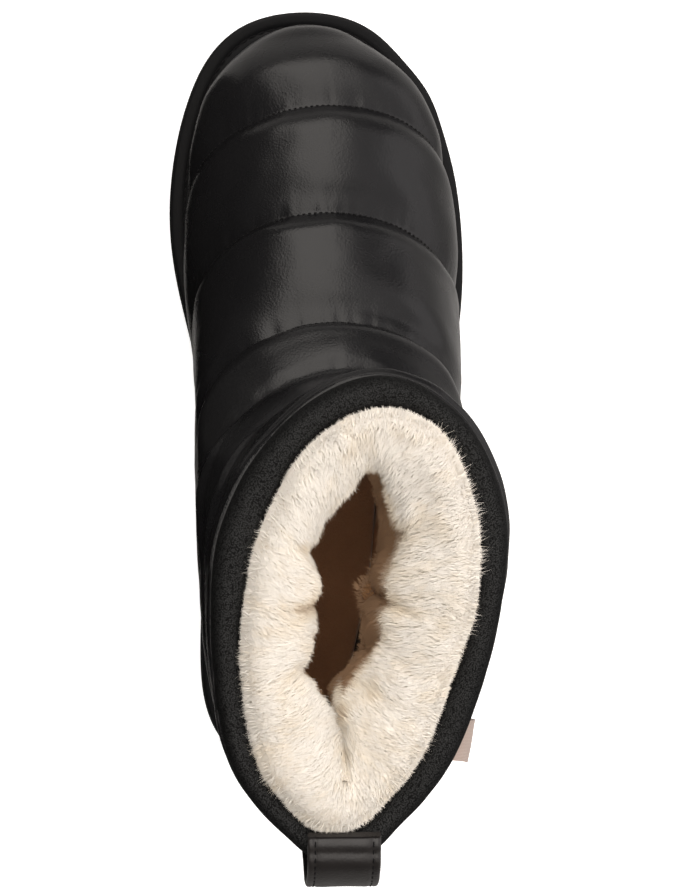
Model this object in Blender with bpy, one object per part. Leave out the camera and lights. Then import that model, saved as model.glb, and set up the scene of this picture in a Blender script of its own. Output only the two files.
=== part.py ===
"""Quilted pull-on boot with a shearling lining, the wearer's right foot.

Metres, +Z up. +Y points to the toe and +X to the outer (lateral) side. The origin is on the
floor, under the middle of the boot. Lengths in the tables are millimetres.
"""
import math

import bmesh
import bpy
import numpy as np
from mathutils import Vector

MM = 0.001

# ---------------------------------------------------------------- driving sizes (millimetres)
GAP = 0.3                  # clearance where curved pieces meet
SOLE_LENGTH = 284.5        # outsole, heel to toe
HEEL_END_Y = -135.5        # rearmost point of the outsole
TREAD_DEPTH = 3.2          # depth of the grooves between the lugs
TREAD_GROOVE = 4.0         # width of those grooves
CUT_WIDE = 150.0           # a cutter this wide passes both edges of the sole
CUT_DEEP = 30.0            # height of a tread cutter, most of it below the floor
SOLE_BOTTOM_INSET = 3.0    # how far the tread edge lies inside the rim
WELT_THICK = 3.6
WELT_INSET = 0.5           # welt edge inside the sole's edge
WELT_WIDTH = 24.0          # from its outer edge to its inner edge, under the upper's wall
INSOLE_THICK = 7.0
INSOLE_INSET = 30.5        # footbed edge inside the sole's edge
COLLAR_Z = 190.0           # height of the ledge that the binding sits on
BINDING_WIDTH = 9.5
BINDING_HEIGHT = 10.0
FLEECE_TOP = 201.0         # top of the shearling roll inside the binding
WALL_FOOT = 16.0           # leather, padding and shearling over the foot
WALL_SIDE = 19.0           # the same at the sides of the foot
WALL_SHAFT = 25.0          # the same round the shaft
STRAP_WIDTH = 23.0
STRAP_THICK = 2.2
STRAP_MIDDLE_X = -0.3      # the pull loop sits a little inwards of the middle
TAG_THICK = 1.0
TAG_BULGE = 1.1            # how far the tag's middle bows outwards
SEAM_REACH = 19.0          # how far from a seam the padding is pulled down
SEAM_FALL = 2.2            # steepness of the padding next to a seam
SEAM_FADE = 22.0           # height above the welt over which the seams reach full depth
SEAM_AT_WELT = 0.25        # share of their depth that they keep at the welt

# Outline of the outsole: station along the boot, inner (medial) edge, outer (lateral) edge.
SOLE_EDGE = [
    # y,      medial, lateral
    (-135.5,   -1.4,   -1.4),
    (-133.0,  -18.5,   15.7),
    (-126.0,  -30.5,   27.7),
    (-115.0,  -38.8,   36.0),
    (-102.0,  -42.6,   39.8),
    (-91.0,   -43.4,   40.7),
    (-70.0,   -43.0,   41.0),
    (-45.0,   -41.6,   42.0),
    (-20.0,   -41.0,   44.4),
    (5.0,     -42.6,   48.3),
    (30.0,    -46.8,   52.2),
    (52.0,    -51.6,   54.0),
    (72.0,    -54.0,   53.0),
    (90.0,    -53.3,   50.2),
    (106.0,   -50.6,   45.4),
    (120.0,   -46.4,   39.4),
    (131.0,   -41.0,   30.6),
    (139.9,   -33.3,   22.8),
    (145.6,   -23.4,   14.0),
    (149.0,    -4.5,   -4.5),
]

# Heights of the outsole along the boot: underside (heel, arch, toe spring) and seat of the welt.
SOLE_HEIGHT = [
    # y,     bottom, seat
    (-135.5,   2.6,  23.4),
    (-124.0,   0.0,  23.2),
    (-90.0,    0.0,  22.8),
    (-56.0,    0.0,  21.8),
    (-36.0,    2.4,  20.6),
    (-14.0,    4.6,  18.6),
    (6.0,      2.8,  16.8),
    (24.0,     0.0,  15.8),
    (60.0,     0.0,  15.2),
    (96.0,     0.0,  15.6),
    (120.0,    2.0,  17.2),
    (136.0,    4.8,  19.8),
    (149.0,    8.6,  23.4),
]

# Grooves that leave the lugs standing: middle of each, its size across and along, and how far
# its bed is lifted with the toe spring.
TREAD = [
    # x,     y,      width,        length,       lift
    (0.0,  -119.0,  CUT_WIDE,     TREAD_GROOVE,  0.0),
    (0.0,  -104.0,  CUT_WIDE,     TREAD_GROOVE,  0.0),
    (0.0,   -89.0,  CUT_WIDE,     TREAD_GROOVE,  0.0),
    (0.0,   -74.0,  CUT_WIDE,     TREAD_GROOVE,  0.0),
    (0.0,    34.0,  CUT_WIDE,     TREAD_GROOVE,  0.0),
    (0.0,    49.0,  CUT_WIDE,     TREAD_GROOVE,  0.0),
    (0.0,    64.0,  CUT_WIDE,     TREAD_GROOVE,  0.0),
    (0.0,    79.0,  CUT_WIDE,     TREAD_GROOVE,  0.0),
    (0.0,    94.0,  CUT_WIDE,     TREAD_GROOVE,  0.2),
    (0.0,   109.0,  CUT_WIDE,     TREAD_GROOVE,  0.9),
    (0.0,   124.0,  CUT_WIDE,     TREAD_GROOVE,  2.5),
    (-21.0,  76.0,  TREAD_GROOVE, 98.0,          0.1),
    (19.0,   76.0,  TREAD_GROOVE, 98.0,          0.1),
    (-1.0,  -97.0,  TREAD_GROOVE, 52.0,          0.1),
]

# Sections of the upper, from the toe tip (0) over the quilting seams (1 to 5) to the collar (6).
# Each section is a closed ring that leans with the seams: F is its front or top point, W the level
# of its widest points, B its rear or bottom point. xm and xl are the inner and outer widest
# points, xf and xb the sideways place of F and B, nf and nb the fullness of its two halves.
UPPER = [
    # s,    Fy,    Fz,    Wy,    Wz,    By,     Bz,    xm,    xl,    xf,   xb,   nf,   nb
    (0.00, 142.2,  38.5, 142.2,  34.0, 142.2,  29.5, -10.0,   0.5,  -4.5, -4.5, 2.00, 2.00),
    (0.12, 140.6,  45.5, 139.6,  33.0, 138.6,  12.0, -17.2,   7.8,  -4.0, -4.0, 2.10, 2.60),
    (0.30, 136.3,  52.0, 131.0,  34.0, 122.0,   4.0, -29.8,  20.0,  -2.5, -4.0, 2.10, 2.60),
    (0.60, 127.0,  59.5, 111.5,  36.5,  88.0,   0.0, -43.2,  36.8,   1.5, -4.0, 2.05, 2.65),
    (1.00, 112.0,  65.5,  82.0,  38.5,  40.0,  -3.0, -49.0,  47.0,   4.0, -3.0, 2.00, 2.70),
    (1.50,  93.0,  73.5,  61.0,  42.0,  10.0,  -4.0, -48.9,  49.6,   3.0, -3.0, 2.00, 2.50),
    (2.00,  72.5,  81.5,  41.0,  47.0, -27.0,  -4.0, -47.1,  50.2,   2.0, -3.0, 2.00, 2.15),
    (2.20,  64.5,  85.6,  31.0,  54.5, -55.0,  -4.0, -46.1,  49.9,   2.0, -3.0, 2.00, 1.98),
    (2.40,  56.7,  89.8,  21.5,  63.0, -84.0,  -2.0, -45.7,  49.3,   2.5, -2.5, 2.00, 1.92),
    (2.60,  48.8,  94.2,  13.0,  72.0, -111.0,  5.0, -45.6,  48.6,   3.0, -2.0, 2.00, 2.10),
    (2.75,  43.1,  97.3,   7.5,  79.5, -125.5, 19.0, -45.6,  48.0,   3.5, -1.5, 2.00, 2.40),
    (2.88,  38.0, 100.3,   3.5,  87.0, -131.3, 42.0, -45.7,  47.4,   3.8, -1.2, 2.00, 2.70),
    (3.00,  34.0, 103.4,   0.5,  94.0, -132.8, 66.0, -45.7,  46.8,   4.0, -1.0, 2.00, 2.95),
    (3.50,  26.2, 113.8, -11.5, 106.5, -133.2, 88.0, -45.4,  46.6,   4.0, -1.0, 2.00, 2.95),
    (4.00,  21.0, 125.5, -22.5, 120.5, -133.0, 109.0, -44.9, 46.8,   4.5, -1.2, 2.00, 2.80),
    (4.50,  16.8, 141.0, -30.0, 137.5, -134.2, 129.0, -44.3, 47.8,   6.0, -1.5, 1.97, 2.60),
    (5.00,  14.0, 157.5, -37.0, 155.0, -136.0, 150.0, -43.4, 48.8,   8.5, -2.0, 1.93, 2.35),
    (5.50,  13.0, 174.0, -43.5, 172.5, -137.8, 170.5, -43.0, 50.0,  11.0, -2.5, 1.88, 2.15),
    (6.00,  11.8, 190.0, -49.0, 190.0, -138.6, 190.0, -42.3, 50.5,  11.5, -3.0, 1.80, 2.05),
]

# Depth of each quilting seam below the crests of the padding beside it: on top, at the sides
# and at the rear. The seams run out towards the sides of the foot.
SEAM_DEPTH = [
    # seam, top, side, rear
    (1.0,  4.8,  1.6,  1.6),
    (2.0,  5.4,  1.8,  1.8),
    (3.0,  5.8,  2.6,  3.6),
    (4.0,  5.6,  3.6,  3.8),
    (5.0,  4.8,  3.8,  3.8),
    (6.0,  2.0,  2.0,  2.0),
]

# Thickness of the wall along the boot: over the top, at the sides, at the rear point.
WALL = [
    # s,     top,                side,               rear
    (0.00,  WALL_FOOT - 1.0,    WALL_SIDE - 1.0,     2.0),
    (1.00,  WALL_FOOT,          WALL_SIDE,           2.0),
    (2.00,  WALL_FOOT,          WALL_SIDE,           2.0),
    (2.40,  WALL_FOOT + 1.5,    WALL_SIDE + 0.5,     8.0),
    (2.75,  WALL_FOOT + 3.0,    WALL_SIDE + 1.0,    16.0),
    (3.00,  WALL_FOOT + 4.5,    WALL_SIDE + 2.0,    20.0),
    (4.00,  WALL_SHAFT - 2.5,   WALL_SHAFT - 1.5,   WALL_SHAFT - 1.5),
    (5.00,  WALL_SHAFT,         WALL_SHAFT,         WALL_SHAFT),
    (6.00,  WALL_SHAFT,         WALL_SHAFT,         WALL_SHAFT),
]

# The rolled shearling edge above the ledge: distance inside the outer face, and height.
COLLAR_ROLL = [
    # inset,                 z
    (BINDING_WIDTH + GAP,    COLLAR_Z),
    (BINDING_WIDTH + GAP,    COLLAR_Z + 7.5),
    (BINDING_WIDTH + 2.3,    FLEECE_TOP - 0.8),
    (BINDING_WIDTH + 5.0,    FLEECE_TOP),
    (BINDING_WIDTH + 9.0,    FLEECE_TOP - 2.2),
    (BINDING_WIDTH + 12.5,   FLEECE_TOP - 7.5),
]

# Section of the binding: distance inside the outer face, and height above its underside.
BINDING = [
    # inset,                 rise
    (0.4,                    0.0),
    (-0.2,                   4.0),
    (0.5,                    7.6),
    (2.6,                    9.6),
    (5.0,                    BINDING_HEIGHT),
    (7.6,                    9.2),
    (BINDING_WIDTH - 0.4,    7.0),
    (BINDING_WIDTH,          3.5),
    (BINDING_WIDTH,          0.0),
]

# Middle line of the pull loop's strap in the upright plane through the heel.
STRAP_PATH = [
    # y,      z
    (-130.6, 201.8),
    (-134.4, 202.1),
    (-138.3, 201.5),
    (-142.3, 199.0),
    (-145.7, 193.8),
    (-147.6, 187.0),
    (-147.7, 179.5),
    (-146.4, 172.0),
    (-143.8, 165.0),
    (-140.2, 158.6),
    (-136.4, 153.6),
    (-133.9, 149.6),
]

# Edges of the hanging tag, top to bottom: height below the ledge, front corner, rear corner.
TAG_EDGE = [
    # drop, front x, front y, rear x, rear y
    (0.3,    39.6,   -98.6,   33.4,  -109.6),
    (11.0,   42.0,   -99.0,   40.6,  -111.4),
]

# Rings of the flat pieces, from the underside up: distance inside the sole's outline, which
# height column of the sole they follow, and how far above it they lie.
SOLE_RINGS = [
    # inset,            column, rise
    (SOLE_BOTTOM_INSET,  1,      0.0),
    (1.2,                1,      1.6),
    (0.4,                1,      5.0),
    (0.2,                2,     -5.0),
    (0.0,                2,     -1.2),
    (0.8,                2,      0.0),
]
WELT_EDGE_RINGS = [
    # inset,             column, rise
    (WELT_INSET + 0.6,   2,      GAP),
    (WELT_INSET,         2,      GAP + 1.2),
    (WELT_INSET + 0.2,   2,      GAP + 2.7),
    (WELT_INSET + 1.2,   2,      GAP + WELT_THICK),
]
INSOLE_RINGS = [
    # inset,               column, rise
    (INSOLE_INSET + 0.6,   2,      GAP),
    (INSOLE_INSET,         2,      GAP + 2.0),
    (INSOLE_INSET,         2,      GAP + INSOLE_THICK - 1.5),
    (INSOLE_INSET + 1.5,   2,      GAP + INSOLE_THICK),
]

# Where rings are laid along the upper: over the toe, between two seams, under the long third
# tube, and down the inside from the collar.
TOE_STATIONS = (0.0, 0.05, 0.12, 0.2, 0.3, 0.42, 0.56, 0.7, 0.82, 0.92)
TUBE_STEPS = (0.0, 0.07, 0.17, 0.32, 0.5, 0.68, 0.83, 0.93)
LONG_TUBE_STEPS = (0.0, 0.06, 0.13, 0.22, 0.32, 0.43, 0.54, 0.64, 0.72, 0.79, 0.85, 0.9, 0.95)
INSIDE_STATIONS = (5.75, 5.5, 5.2, 4.9, 4.6, 4.3, 4.0, 3.7, 3.4, 3.15, 3.0, 2.88, 2.78, 2.68,
                   2.57, 2.45, 2.3, 2.15, 2.0, 1.75, 1.5, 1.25, 1.0, 0.8, 0.6, 0.45, 0.34)

OUTLINE_POINTS = 76
RING_POINTS = 40
BINDING_POINTS = 60
CUTTER_HALF_WIDTH = 90.0
CUTTER_HALF_LENGTH = 175.0
CUTTER_FLOOR = -60.0


# ---------------------------------------------------------------- curves through the tables
def spline(xs, ys, x):
    """Natural cubic curve through (xs, ys), read at x."""
    xs = np.asarray(xs, float)
    ys = np.asarray(ys, float)
    n = len(xs)
    h = np.diff(xs)
    a = np.zeros((n, n))
    b = np.zeros(n)
    a[0, 0] = 1.0
    a[-1, -1] = 1.0
    for i in range(1, n - 1):
        a[i, i - 1] = h[i - 1]
        a[i, i] = 2.0 * (h[i - 1] + h[i])
        a[i, i + 1] = h[i]
        b[i] = 6.0 * ((ys[i + 1] - ys[i]) / h[i] - (ys[i] - ys[i - 1]) / h[i - 1])
    m = np.linalg.solve(a, b)
    x = np.clip(np.asarray(x, float), xs[0], xs[-1])
    k = np.clip(np.searchsorted(xs, x, side="right") - 1, 0, n - 2)
    t = x - xs[k]
    slope = (ys[k + 1] - ys[k]) / h[k] - h[k] * (2.0 * m[k] + m[k + 1]) / 6.0
    return ys[k] + t * (slope + t * (m[k] / 2.0 + t * (m[k + 1] - m[k]) / (6.0 * h[k])))


def monotone(xs, ys, x):
    """Smooth curve through (xs, ys) that never swings past them, read at x."""
    xs = np.asarray(xs, float)
    ys = np.asarray(ys, float)
    h = np.diff(xs)
    rate = np.diff(ys) / h
    slope = np.zeros(len(xs))
    slope[0] = rate[0]
    slope[-1] = rate[-1]
    for i in range(1, len(xs) - 1):
        if rate[i - 1] * rate[i] > 0.0:
            before = 2.0 * h[i] + h[i - 1]
            after = h[i] + 2.0 * h[i - 1]
            slope[i] = (before + after) / (before / rate[i - 1] + after / rate[i])
    x = np.clip(np.asarray(x, float), xs[0], xs[-1])
    k = np.clip(np.searchsorted(xs, x, side="right") - 1, 0, len(xs) - 2)
    t = (x - xs[k]) / h[k]
    rise = ys[k + 1] - ys[k]
    bend = h[k] * (slope[k] * (1.0 - t) ** 2 * t - slope[k + 1] * (1.0 - t) * t ** 2)
    return ys[k] + rise * smoothstep(t) + bend


def column(table, i):
    """One named column of a table."""
    return [row[i] for row in table]


def smoothstep(x):
    x = np.clip(x, 0.0, 1.0)
    return x * x * (3.0 - 2.0 * x)


def sole_turn(y):
    """Angle that runs evenly round the outline: 0 at the heel end, pi at the toe."""
    return np.arccos(np.clip(1.0 - 2.0 * (np.asarray(y, float) - HEEL_END_Y) / SOLE_LENGTH, -1, 1))


def sole_outline(inset):
    """Closed outline of the sole, counter-clockwise from the heel end, moved inwards by inset."""
    half = OUTLINE_POINTS // 2
    turn = np.linspace(0.0, math.pi, half + 1)
    y = HEEL_END_Y + SOLE_LENGTH * (1.0 - np.cos(turn)) / 2.0
    knots = sole_turn(column(SOLE_EDGE, 0))
    medial = spline(knots, column(SOLE_EDGE, 1), turn)
    lateral = spline(knots, column(SOLE_EDGE, 2), turn)
    ring = [(lateral[i], y[i]) for i in range(half + 1)]
    ring += [(medial[i], y[i]) for i in range(half - 1, 0, -1)]
    ring = np.array(ring)
    along = np.roll(ring, -1, axis=0) - np.roll(ring, 1, axis=0)
    outward = np.stack([along[:, 1], -along[:, 0]], axis=1)
    outward /= np.linalg.norm(outward, axis=1)[:, None]
    return ring - inset * outward


def sole_z(y, col):
    """Height of the sole at y: column 1 is its underside, column 2 the seat of the welt."""
    return np.maximum(0.0, spline(column(SOLE_HEIGHT, 0), column(SOLE_HEIGHT, col), y))


# ---------------------------------------------------------------- meshes
def material(name, colour, roughness):
    mat = bpy.data.materials.new(name)
    mat.use_nodes = True
    shader = mat.node_tree.nodes["Principled BSDF"]
    shader.inputs["Base Color"].default_value = (*colour, 1.0)
    shader.inputs["Roughness"].default_value = roughness
    shader.inputs["Metallic"].default_value = 0.0
    mat.diffuse_color = (*colour, 1.0)
    return mat


def add_piece(name, rings, mat, closed_loop=False, ladder=True):
    """Solid from rings of points. The rings are joined in order, the last one to the first where
    closed_loop is set. Otherwise both ends are covered, by rungs across a ladder or by one face.
    """
    bm = bmesh.new()
    loops = [[bm.verts.new(Vector(p) * MM) for p in ring] for ring in rings]
    n = len(loops[0])
    pairs = list(zip(loops, loops[1:]))
    if closed_loop:
        pairs.append((loops[-1], loops[0]))
    for low, high in pairs:
        for i in range(n):
            j = (i + 1) % n
            bm.faces.new((low[i], low[j], high[j], high[i]))
    if not closed_loop:
        for loop in (loops[0], loops[-1]):
            if ladder:
                cover_with_rungs(bm, loop)
            else:
                bm.faces.new(loop)
    bmesh.ops.recalc_face_normals(bm, faces=bm.faces)
    mesh = bpy.data.meshes.new(name)
    bm.to_mesh(mesh)
    bm.free()
    mesh.shade_smooth()
    mesh.set_sharp_from_angle(angle=math.radians(40.0))
    mesh.materials.append(mat)
    obj = bpy.data.objects.new(name, mesh)
    bpy.context.scene.collection.objects.link(obj)
    return obj


def cover_with_rungs(bm, loop):
    """Cover a loop that is paired left and right about its first and middle points."""
    n = len(loop)
    half = n // 2
    bm.faces.new((loop[0], loop[1], loop[n - 1]))
    for i in range(1, half - 1):
        bm.faces.new((loop[i], loop[i + 1], loop[n - i - 1], loop[n - i]))
    bm.faces.new((loop[half - 1], loop[half], loop[half + 1]))


def cut(target, cutter):
    """Cut target with cutter, which is only a guide."""
    cutter.hide_render = True
    cutter.display_type = "WIRE"
    mod = target.modifiers.new("cut by " + cutter.name, "BOOLEAN")
    mod.operation = "DIFFERENCE"
    mod.solver = "EXACT"
    mod.object = cutter


def outline_ring(inset, col, rise):
    """Ring of the sole's outline at a height above one of the sole's height columns."""
    xy = sole_outline(inset)
    z = sole_z(xy[:, 1], col) + rise
    return np.column_stack([xy, z])


# ---------------------------------------------------------------- the upper's own function
def upper_ring(s, top=0.0, side=0.0, rear=0.0, count=RING_POINTS):
    """Ring s of the upper, made smaller by top, side and rear at its front, sides and back."""
    fy, fz, wy, wz, by, bz, xm, xl, xf, xb, nf, nb = (
        float(monotone(column(UPPER, 0), column(UPPER, i), s)) for i in range(1, 13))
    front = np.array([fy, fz])
    wide = np.array([wy, wz])
    back = np.array([by, bz])
    axis = (front - back) / np.linalg.norm(front - back)
    front = front - top * axis
    back = back + rear * axis
    xm += side
    xl -= side
    mid = (xm + xl) / 2.0
    half = (xl - xm) / 2.0
    points = []
    for i in range(count):
        turn = 2.0 * math.pi * i / count
        c = math.cos(turn)
        sn = math.sin(turn)
        end, x_end, n = (front, xf, nf) if c >= 0.0 else (back, xb, nb)
        along = abs(c) ** (2.0 / n)
        across = half * math.copysign(abs(sn) ** (2.0 / n), sn)
        yz = wide + (end - wide) * along
        points.append((mid + (x_end - mid) * along + across, yz[0], yz[1]))
    return np.array(points)


def collar_ring(inset, z, count=RING_POINTS):
    """Level ring of the collar, moved inwards by inset."""
    ring = upper_ring(6.0, inset, inset, inset, count)
    ring[:, 2] = z
    return ring


def wall(s):
    """Wall thickness over the top, at the sides and at the rear, at section s."""
    return [float(monotone(column(WALL, 0), column(WALL, i), s)) for i in (1, 2, 3)]


def padded_rings(stations):
    """Outer rings of the upper, pulled down along the quilting seams."""
    rings = np.array([upper_ring(s) for s in stations])
    along = np.gradient(rings, axis=0)
    around = np.roll(rings, -1, axis=1) - np.roll(rings, 1, axis=1)
    normal = np.cross(around, along)
    normal /= np.maximum(np.linalg.norm(normal, axis=2), 1e-9)[:, :, None]
    centre = rings.mean(axis=1, keepdims=True)
    if np.sum((rings - centre) * normal) < 0.0:
        normal = -normal
    steps = np.linalg.norm(np.diff(rings, axis=0), axis=2)
    walked = np.vstack([np.zeros(RING_POINTS), np.cumsum(steps, axis=0)])
    seams = [stations.index(row[0]) for row in SEAM_DEPTH]
    drop = np.zeros(walked.shape)
    turn = np.cos(np.arange(RING_POINTS) * 2.0 * math.pi / RING_POINTS)
    for k, (_, top, side, rear) in enumerate(SEAM_DEPTH):
        at = seams[k]
        depth = side + np.where(turn > 0.0, top - side, rear - side) * np.abs(turn)
        for end in ((seams[k - 1] if k else 0), (seams[k + 1] if k + 1 < len(seams) else None)):
            if end is None:
                continue
            reach = np.minimum(SEAM_REACH, np.abs(walked[end] - walked[at]) / 2.0)
            rows = slice(min(at, end), max(at, end) + 1)
            near = 1.0 - np.abs(walked[rows] - walked[at]) / np.maximum(reach, 1e-6)
            drop[rows] = np.maximum(drop[rows], depth * np.clip(near, 0.0, 1.0) ** SEAM_FALL)
    above = rings[:, :, 2] - sole_z(rings[:, :, 1], 2) - WELT_THICK - 2.0 * GAP
    drop *= SEAM_AT_WELT + (1.0 - SEAM_AT_WELT) * smoothstep(above / SEAM_FADE)
    return rings - normal * drop[:, :, None]


def build_upper(mat):
    """The quilted leather, its padding and its shearling, as one hollow wall."""
    outer = list(TOE_STATIONS)
    for seam in (1.0, 2.0, 3.0, 4.0, 5.0):
        outer += [seam + step for step in (LONG_TUBE_STEPS if seam == 2.0 else TUBE_STEPS)]
    rings = list(padded_rings(outer + [6.0]))
    for inset, z in COLLAR_ROLL:
        rings.append(collar_ring(inset, z))
    rings += [upper_ring(s, *wall(s)) for s in INSIDE_STATIONS]
    upper = add_piece("upper", rings, mat)
    cut(upper, build_sole_cutter())
    return upper


def build_sole_cutter():
    """Block that opens the upper underneath, its top running just above the welt."""
    y = np.linspace(-CUTTER_HALF_LENGTH, CUTTER_HALF_LENGTH, OUTLINE_POINTS // 2)
    top = sole_z(y, 2) + WELT_THICK + 2.0 * GAP
    bm = bmesh.new()
    sections = []
    for here, height in zip(y, top):
        corners = ((CUTTER_HALF_WIDTH, height), (-CUTTER_HALF_WIDTH, height),
                   (-CUTTER_HALF_WIDTH, CUTTER_FLOOR), (CUTTER_HALF_WIDTH, CUTTER_FLOOR))
        sections.append([bm.verts.new(Vector((x, here, z)) * MM) for x, z in corners])
    for near, far in zip(sections, sections[1:]):
        for i in range(4):
            j = (i + 1) % 4
            bm.faces.new((near[i], near[j], far[j], far[i]))
    bm.faces.new(sections[0])
    bm.faces.new(sections[-1])
    bmesh.ops.recalc_face_normals(bm, faces=bm.faces)
    mesh = bpy.data.meshes.new("sole_cutter")
    bm.to_mesh(mesh)
    bm.free()
    cutter = bpy.data.objects.new("sole_cutter", mesh)
    bpy.context.scene.collection.objects.link(cutter)
    return cutter


# ---------------------------------------------------------------- sole, welt and insole
def build_outsole(mat):
    sole = add_piece("outsole", [outline_ring(*row) for row in SOLE_RINGS], mat)
    for number, (x, y, width, length, lift) in enumerate(TREAD):
        bpy.ops.mesh.primitive_cube_add(size=1.0)
        bar = bpy.context.active_object
        bar.name = f"tread_cutter_{number}"
        bar.data.name = bar.name
        top = lift + TREAD_DEPTH
        for vert in bar.data.vertices:
            vert.co = Vector((x + vert.co.x * width, y + vert.co.y * length,
                              top - (0.5 - vert.co.z) * CUT_DEEP)) * MM
        cut(sole, bar)
    return sole


def build_welt(mat):
    """Flat band all round, with strips across its width so that it follows the sole's curve."""
    rings = [outline_ring(*row) for row in WELT_EDGE_RINGS]
    strips = [WELT_INSET + WELT_WIDTH * part / 3.0 for part in (1, 2, 3)]
    rings += [outline_ring(inset, 2, GAP + WELT_THICK) for inset in strips]
    rings += [outline_ring(inset, 2, GAP) for inset in reversed(strips)]
    return add_piece("welt", rings, mat, closed_loop=True)


def build_insole(mat):
    return add_piece("insole", [outline_ring(*row) for row in INSOLE_RINGS], mat)


# ---------------------------------------------------------------- binding, loop and tag
def build_binding(mat):
    rings = [collar_ring(inset, COLLAR_Z + GAP + rise, BINDING_POINTS) for inset, rise in BINDING]
    return add_piece("collar_binding", rings, mat, closed_loop=True)


def build_pull_loop(mat):
    """Strap that stands off the heel, its upper end folded over the binding."""
    path = np.array(STRAP_PATH)
    along = np.gradient(path, axis=0)
    along /= np.linalg.norm(along, axis=1)[:, None]
    across = np.column_stack([along[:, 1], -along[:, 0]])
    left = STRAP_MIDDLE_X - STRAP_WIDTH / 2.0
    right = STRAP_MIDDLE_X + STRAP_WIDTH / 2.0
    rings = []
    for middle, side in zip(path, across):
        a = middle + side * STRAP_THICK / 2.0
        b = middle - side * STRAP_THICK / 2.0
        rings.append([(left, *a), (right, *a), (right, *b), (left, *b)])
    return add_piece("pull_loop", rings, mat, ladder=False)


def build_side_tag(mat):
    """Folded tag that hangs from under the binding, its rear corner standing off the leather."""
    (high, *top), (low, *bottom) = TAG_EDGE
    rings = []
    for t in np.linspace(0.0, 1.0, 5):
        front_x, front_y, rear_x, rear_y = np.array(top) * (1.0 - t) + np.array(bottom) * t
        bulge = TAG_BULGE * math.sin(math.pi * t)
        z = COLLAR_Z - high * (1.0 - t) - low * t
        front = np.array([front_x + bulge, front_y, z])
        rear = np.array([rear_x + bulge, rear_y, z])
        out = np.array([front_y - rear_y, rear_x - front_x, 0.0])
        out *= TAG_THICK / 2.0 / np.linalg.norm(out)
        rings.append([front + out, front - out, rear - out, rear + out])
    return add_piece("side_tag", rings, mat, ladder=False)


# ---------------------------------------------------------------- the boot, from the floor up
for old in list(bpy.data.objects):
    bpy.data.objects.remove(old, do_unlink=True)

rubber = material("black rubber", (0.016, 0.016, 0.017), 0.75)
welt_mat = material("black welt", (0.022, 0.022, 0.023), 0.8)
leather = material("black nappa leather", (0.012, 0.011, 0.011), 0.32)
textile = material("charcoal binding tape", (0.03, 0.03, 0.032), 0.85)
wool = material("natural wool felt", (0.45, 0.3, 0.18), 0.95)
tag_mat = material("pale woven tag", (0.66, 0.5, 0.43), 0.85)

build_outsole(rubber)
build_welt(welt_mat)
build_insole(wool)
build_upper(leather)
build_binding(textile)
build_pull_loop(leather)
build_side_tag(tag_mat)
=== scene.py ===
import math

import bmesh
import bpy
import numpy as np
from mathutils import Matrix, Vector, noise


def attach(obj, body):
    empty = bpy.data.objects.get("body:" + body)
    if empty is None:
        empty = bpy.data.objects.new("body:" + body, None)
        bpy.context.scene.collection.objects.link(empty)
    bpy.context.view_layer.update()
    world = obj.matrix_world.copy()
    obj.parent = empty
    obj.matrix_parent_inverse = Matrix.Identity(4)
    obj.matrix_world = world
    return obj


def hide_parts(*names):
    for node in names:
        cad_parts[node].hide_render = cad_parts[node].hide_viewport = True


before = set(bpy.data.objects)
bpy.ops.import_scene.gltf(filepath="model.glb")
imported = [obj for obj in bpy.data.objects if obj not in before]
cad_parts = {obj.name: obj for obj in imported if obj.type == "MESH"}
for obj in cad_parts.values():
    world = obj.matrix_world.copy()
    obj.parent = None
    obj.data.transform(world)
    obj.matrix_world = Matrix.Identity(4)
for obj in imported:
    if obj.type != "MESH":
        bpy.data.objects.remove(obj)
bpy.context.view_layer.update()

# The boot stands with its toe to +Y and its outer side to +X. Tables and shapes are in
# millimetres, and MM turns them into metres where a mesh is made.


# ------------------------------------------------------------------------------ outsole
# One moulded piece of matt black rubber: a flat heel, a raised arch, a little toe spring, and
# lugs left standing between straight grooves. The welt and the upper are glued on top of it.
MM = 0.001
HEEL_END_Y = -135.5
SOLE_LENGTH = 284.5
TREAD_DEPTH = 3.2
TREAD_GROOVE = 4.0
CUTTER_HEIGHT = 20.0       # of the bar that cuts a groove
CUTTER_LENGTH = 150.0      # of the bar for a groove right across
WELD = 1e-6                # points this near are merged, in metres

SOLE_EDGE = [
    # y,      medial, lateral
    (-135.5,   -1.4,   -1.4),
    (-133.0,  -18.5,   15.7),
    (-126.0,  -30.5,   27.7),
    (-115.0,  -38.8,   36.0),
    (-102.0,  -42.6,   39.8),
    (-91.0,   -43.4,   40.7),
    (-70.0,   -43.0,   41.0),
    (-45.0,   -41.6,   42.0),
    (-20.0,   -41.0,   44.4),
    (5.0,     -42.6,   48.3),
    (30.0,    -47.7,   53.0),
    (52.0,    -52.7,   54.8),
    (72.0,    -54.8,   54.1),
    (90.0,    -53.9,   51.6),
    (106.0,   -51.1,   47.3),
    (120.0,   -46.8,   41.7),
    (131.0,   -41.4,   33.0),
    (139.9,   -33.7,   24.0),
    (145.6,   -24.2,   14.4),
    (149.0,    -4.5,   -4.5),
]
SOLE_HEIGHT = [
    # y,     bottom, seat
    (-135.5,   2.6,  23.4),
    (-124.0,   0.0,  23.2),
    (-90.0,    0.0,  22.8),
    (-56.0,    0.0,  21.8),
    (-36.0,    2.4,  20.6),
    (-14.0,    4.6,  18.6),
    (6.0,      2.8,  16.8),
    (24.0,     0.0,  15.8),
    (60.0,     0.0,  15.2),
    (96.0,     0.0,  15.6),
    (120.0,    2.0,  17.2),
    (136.0,    4.8,  19.8),
    (149.0,    8.6,  23.4),
]
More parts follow.
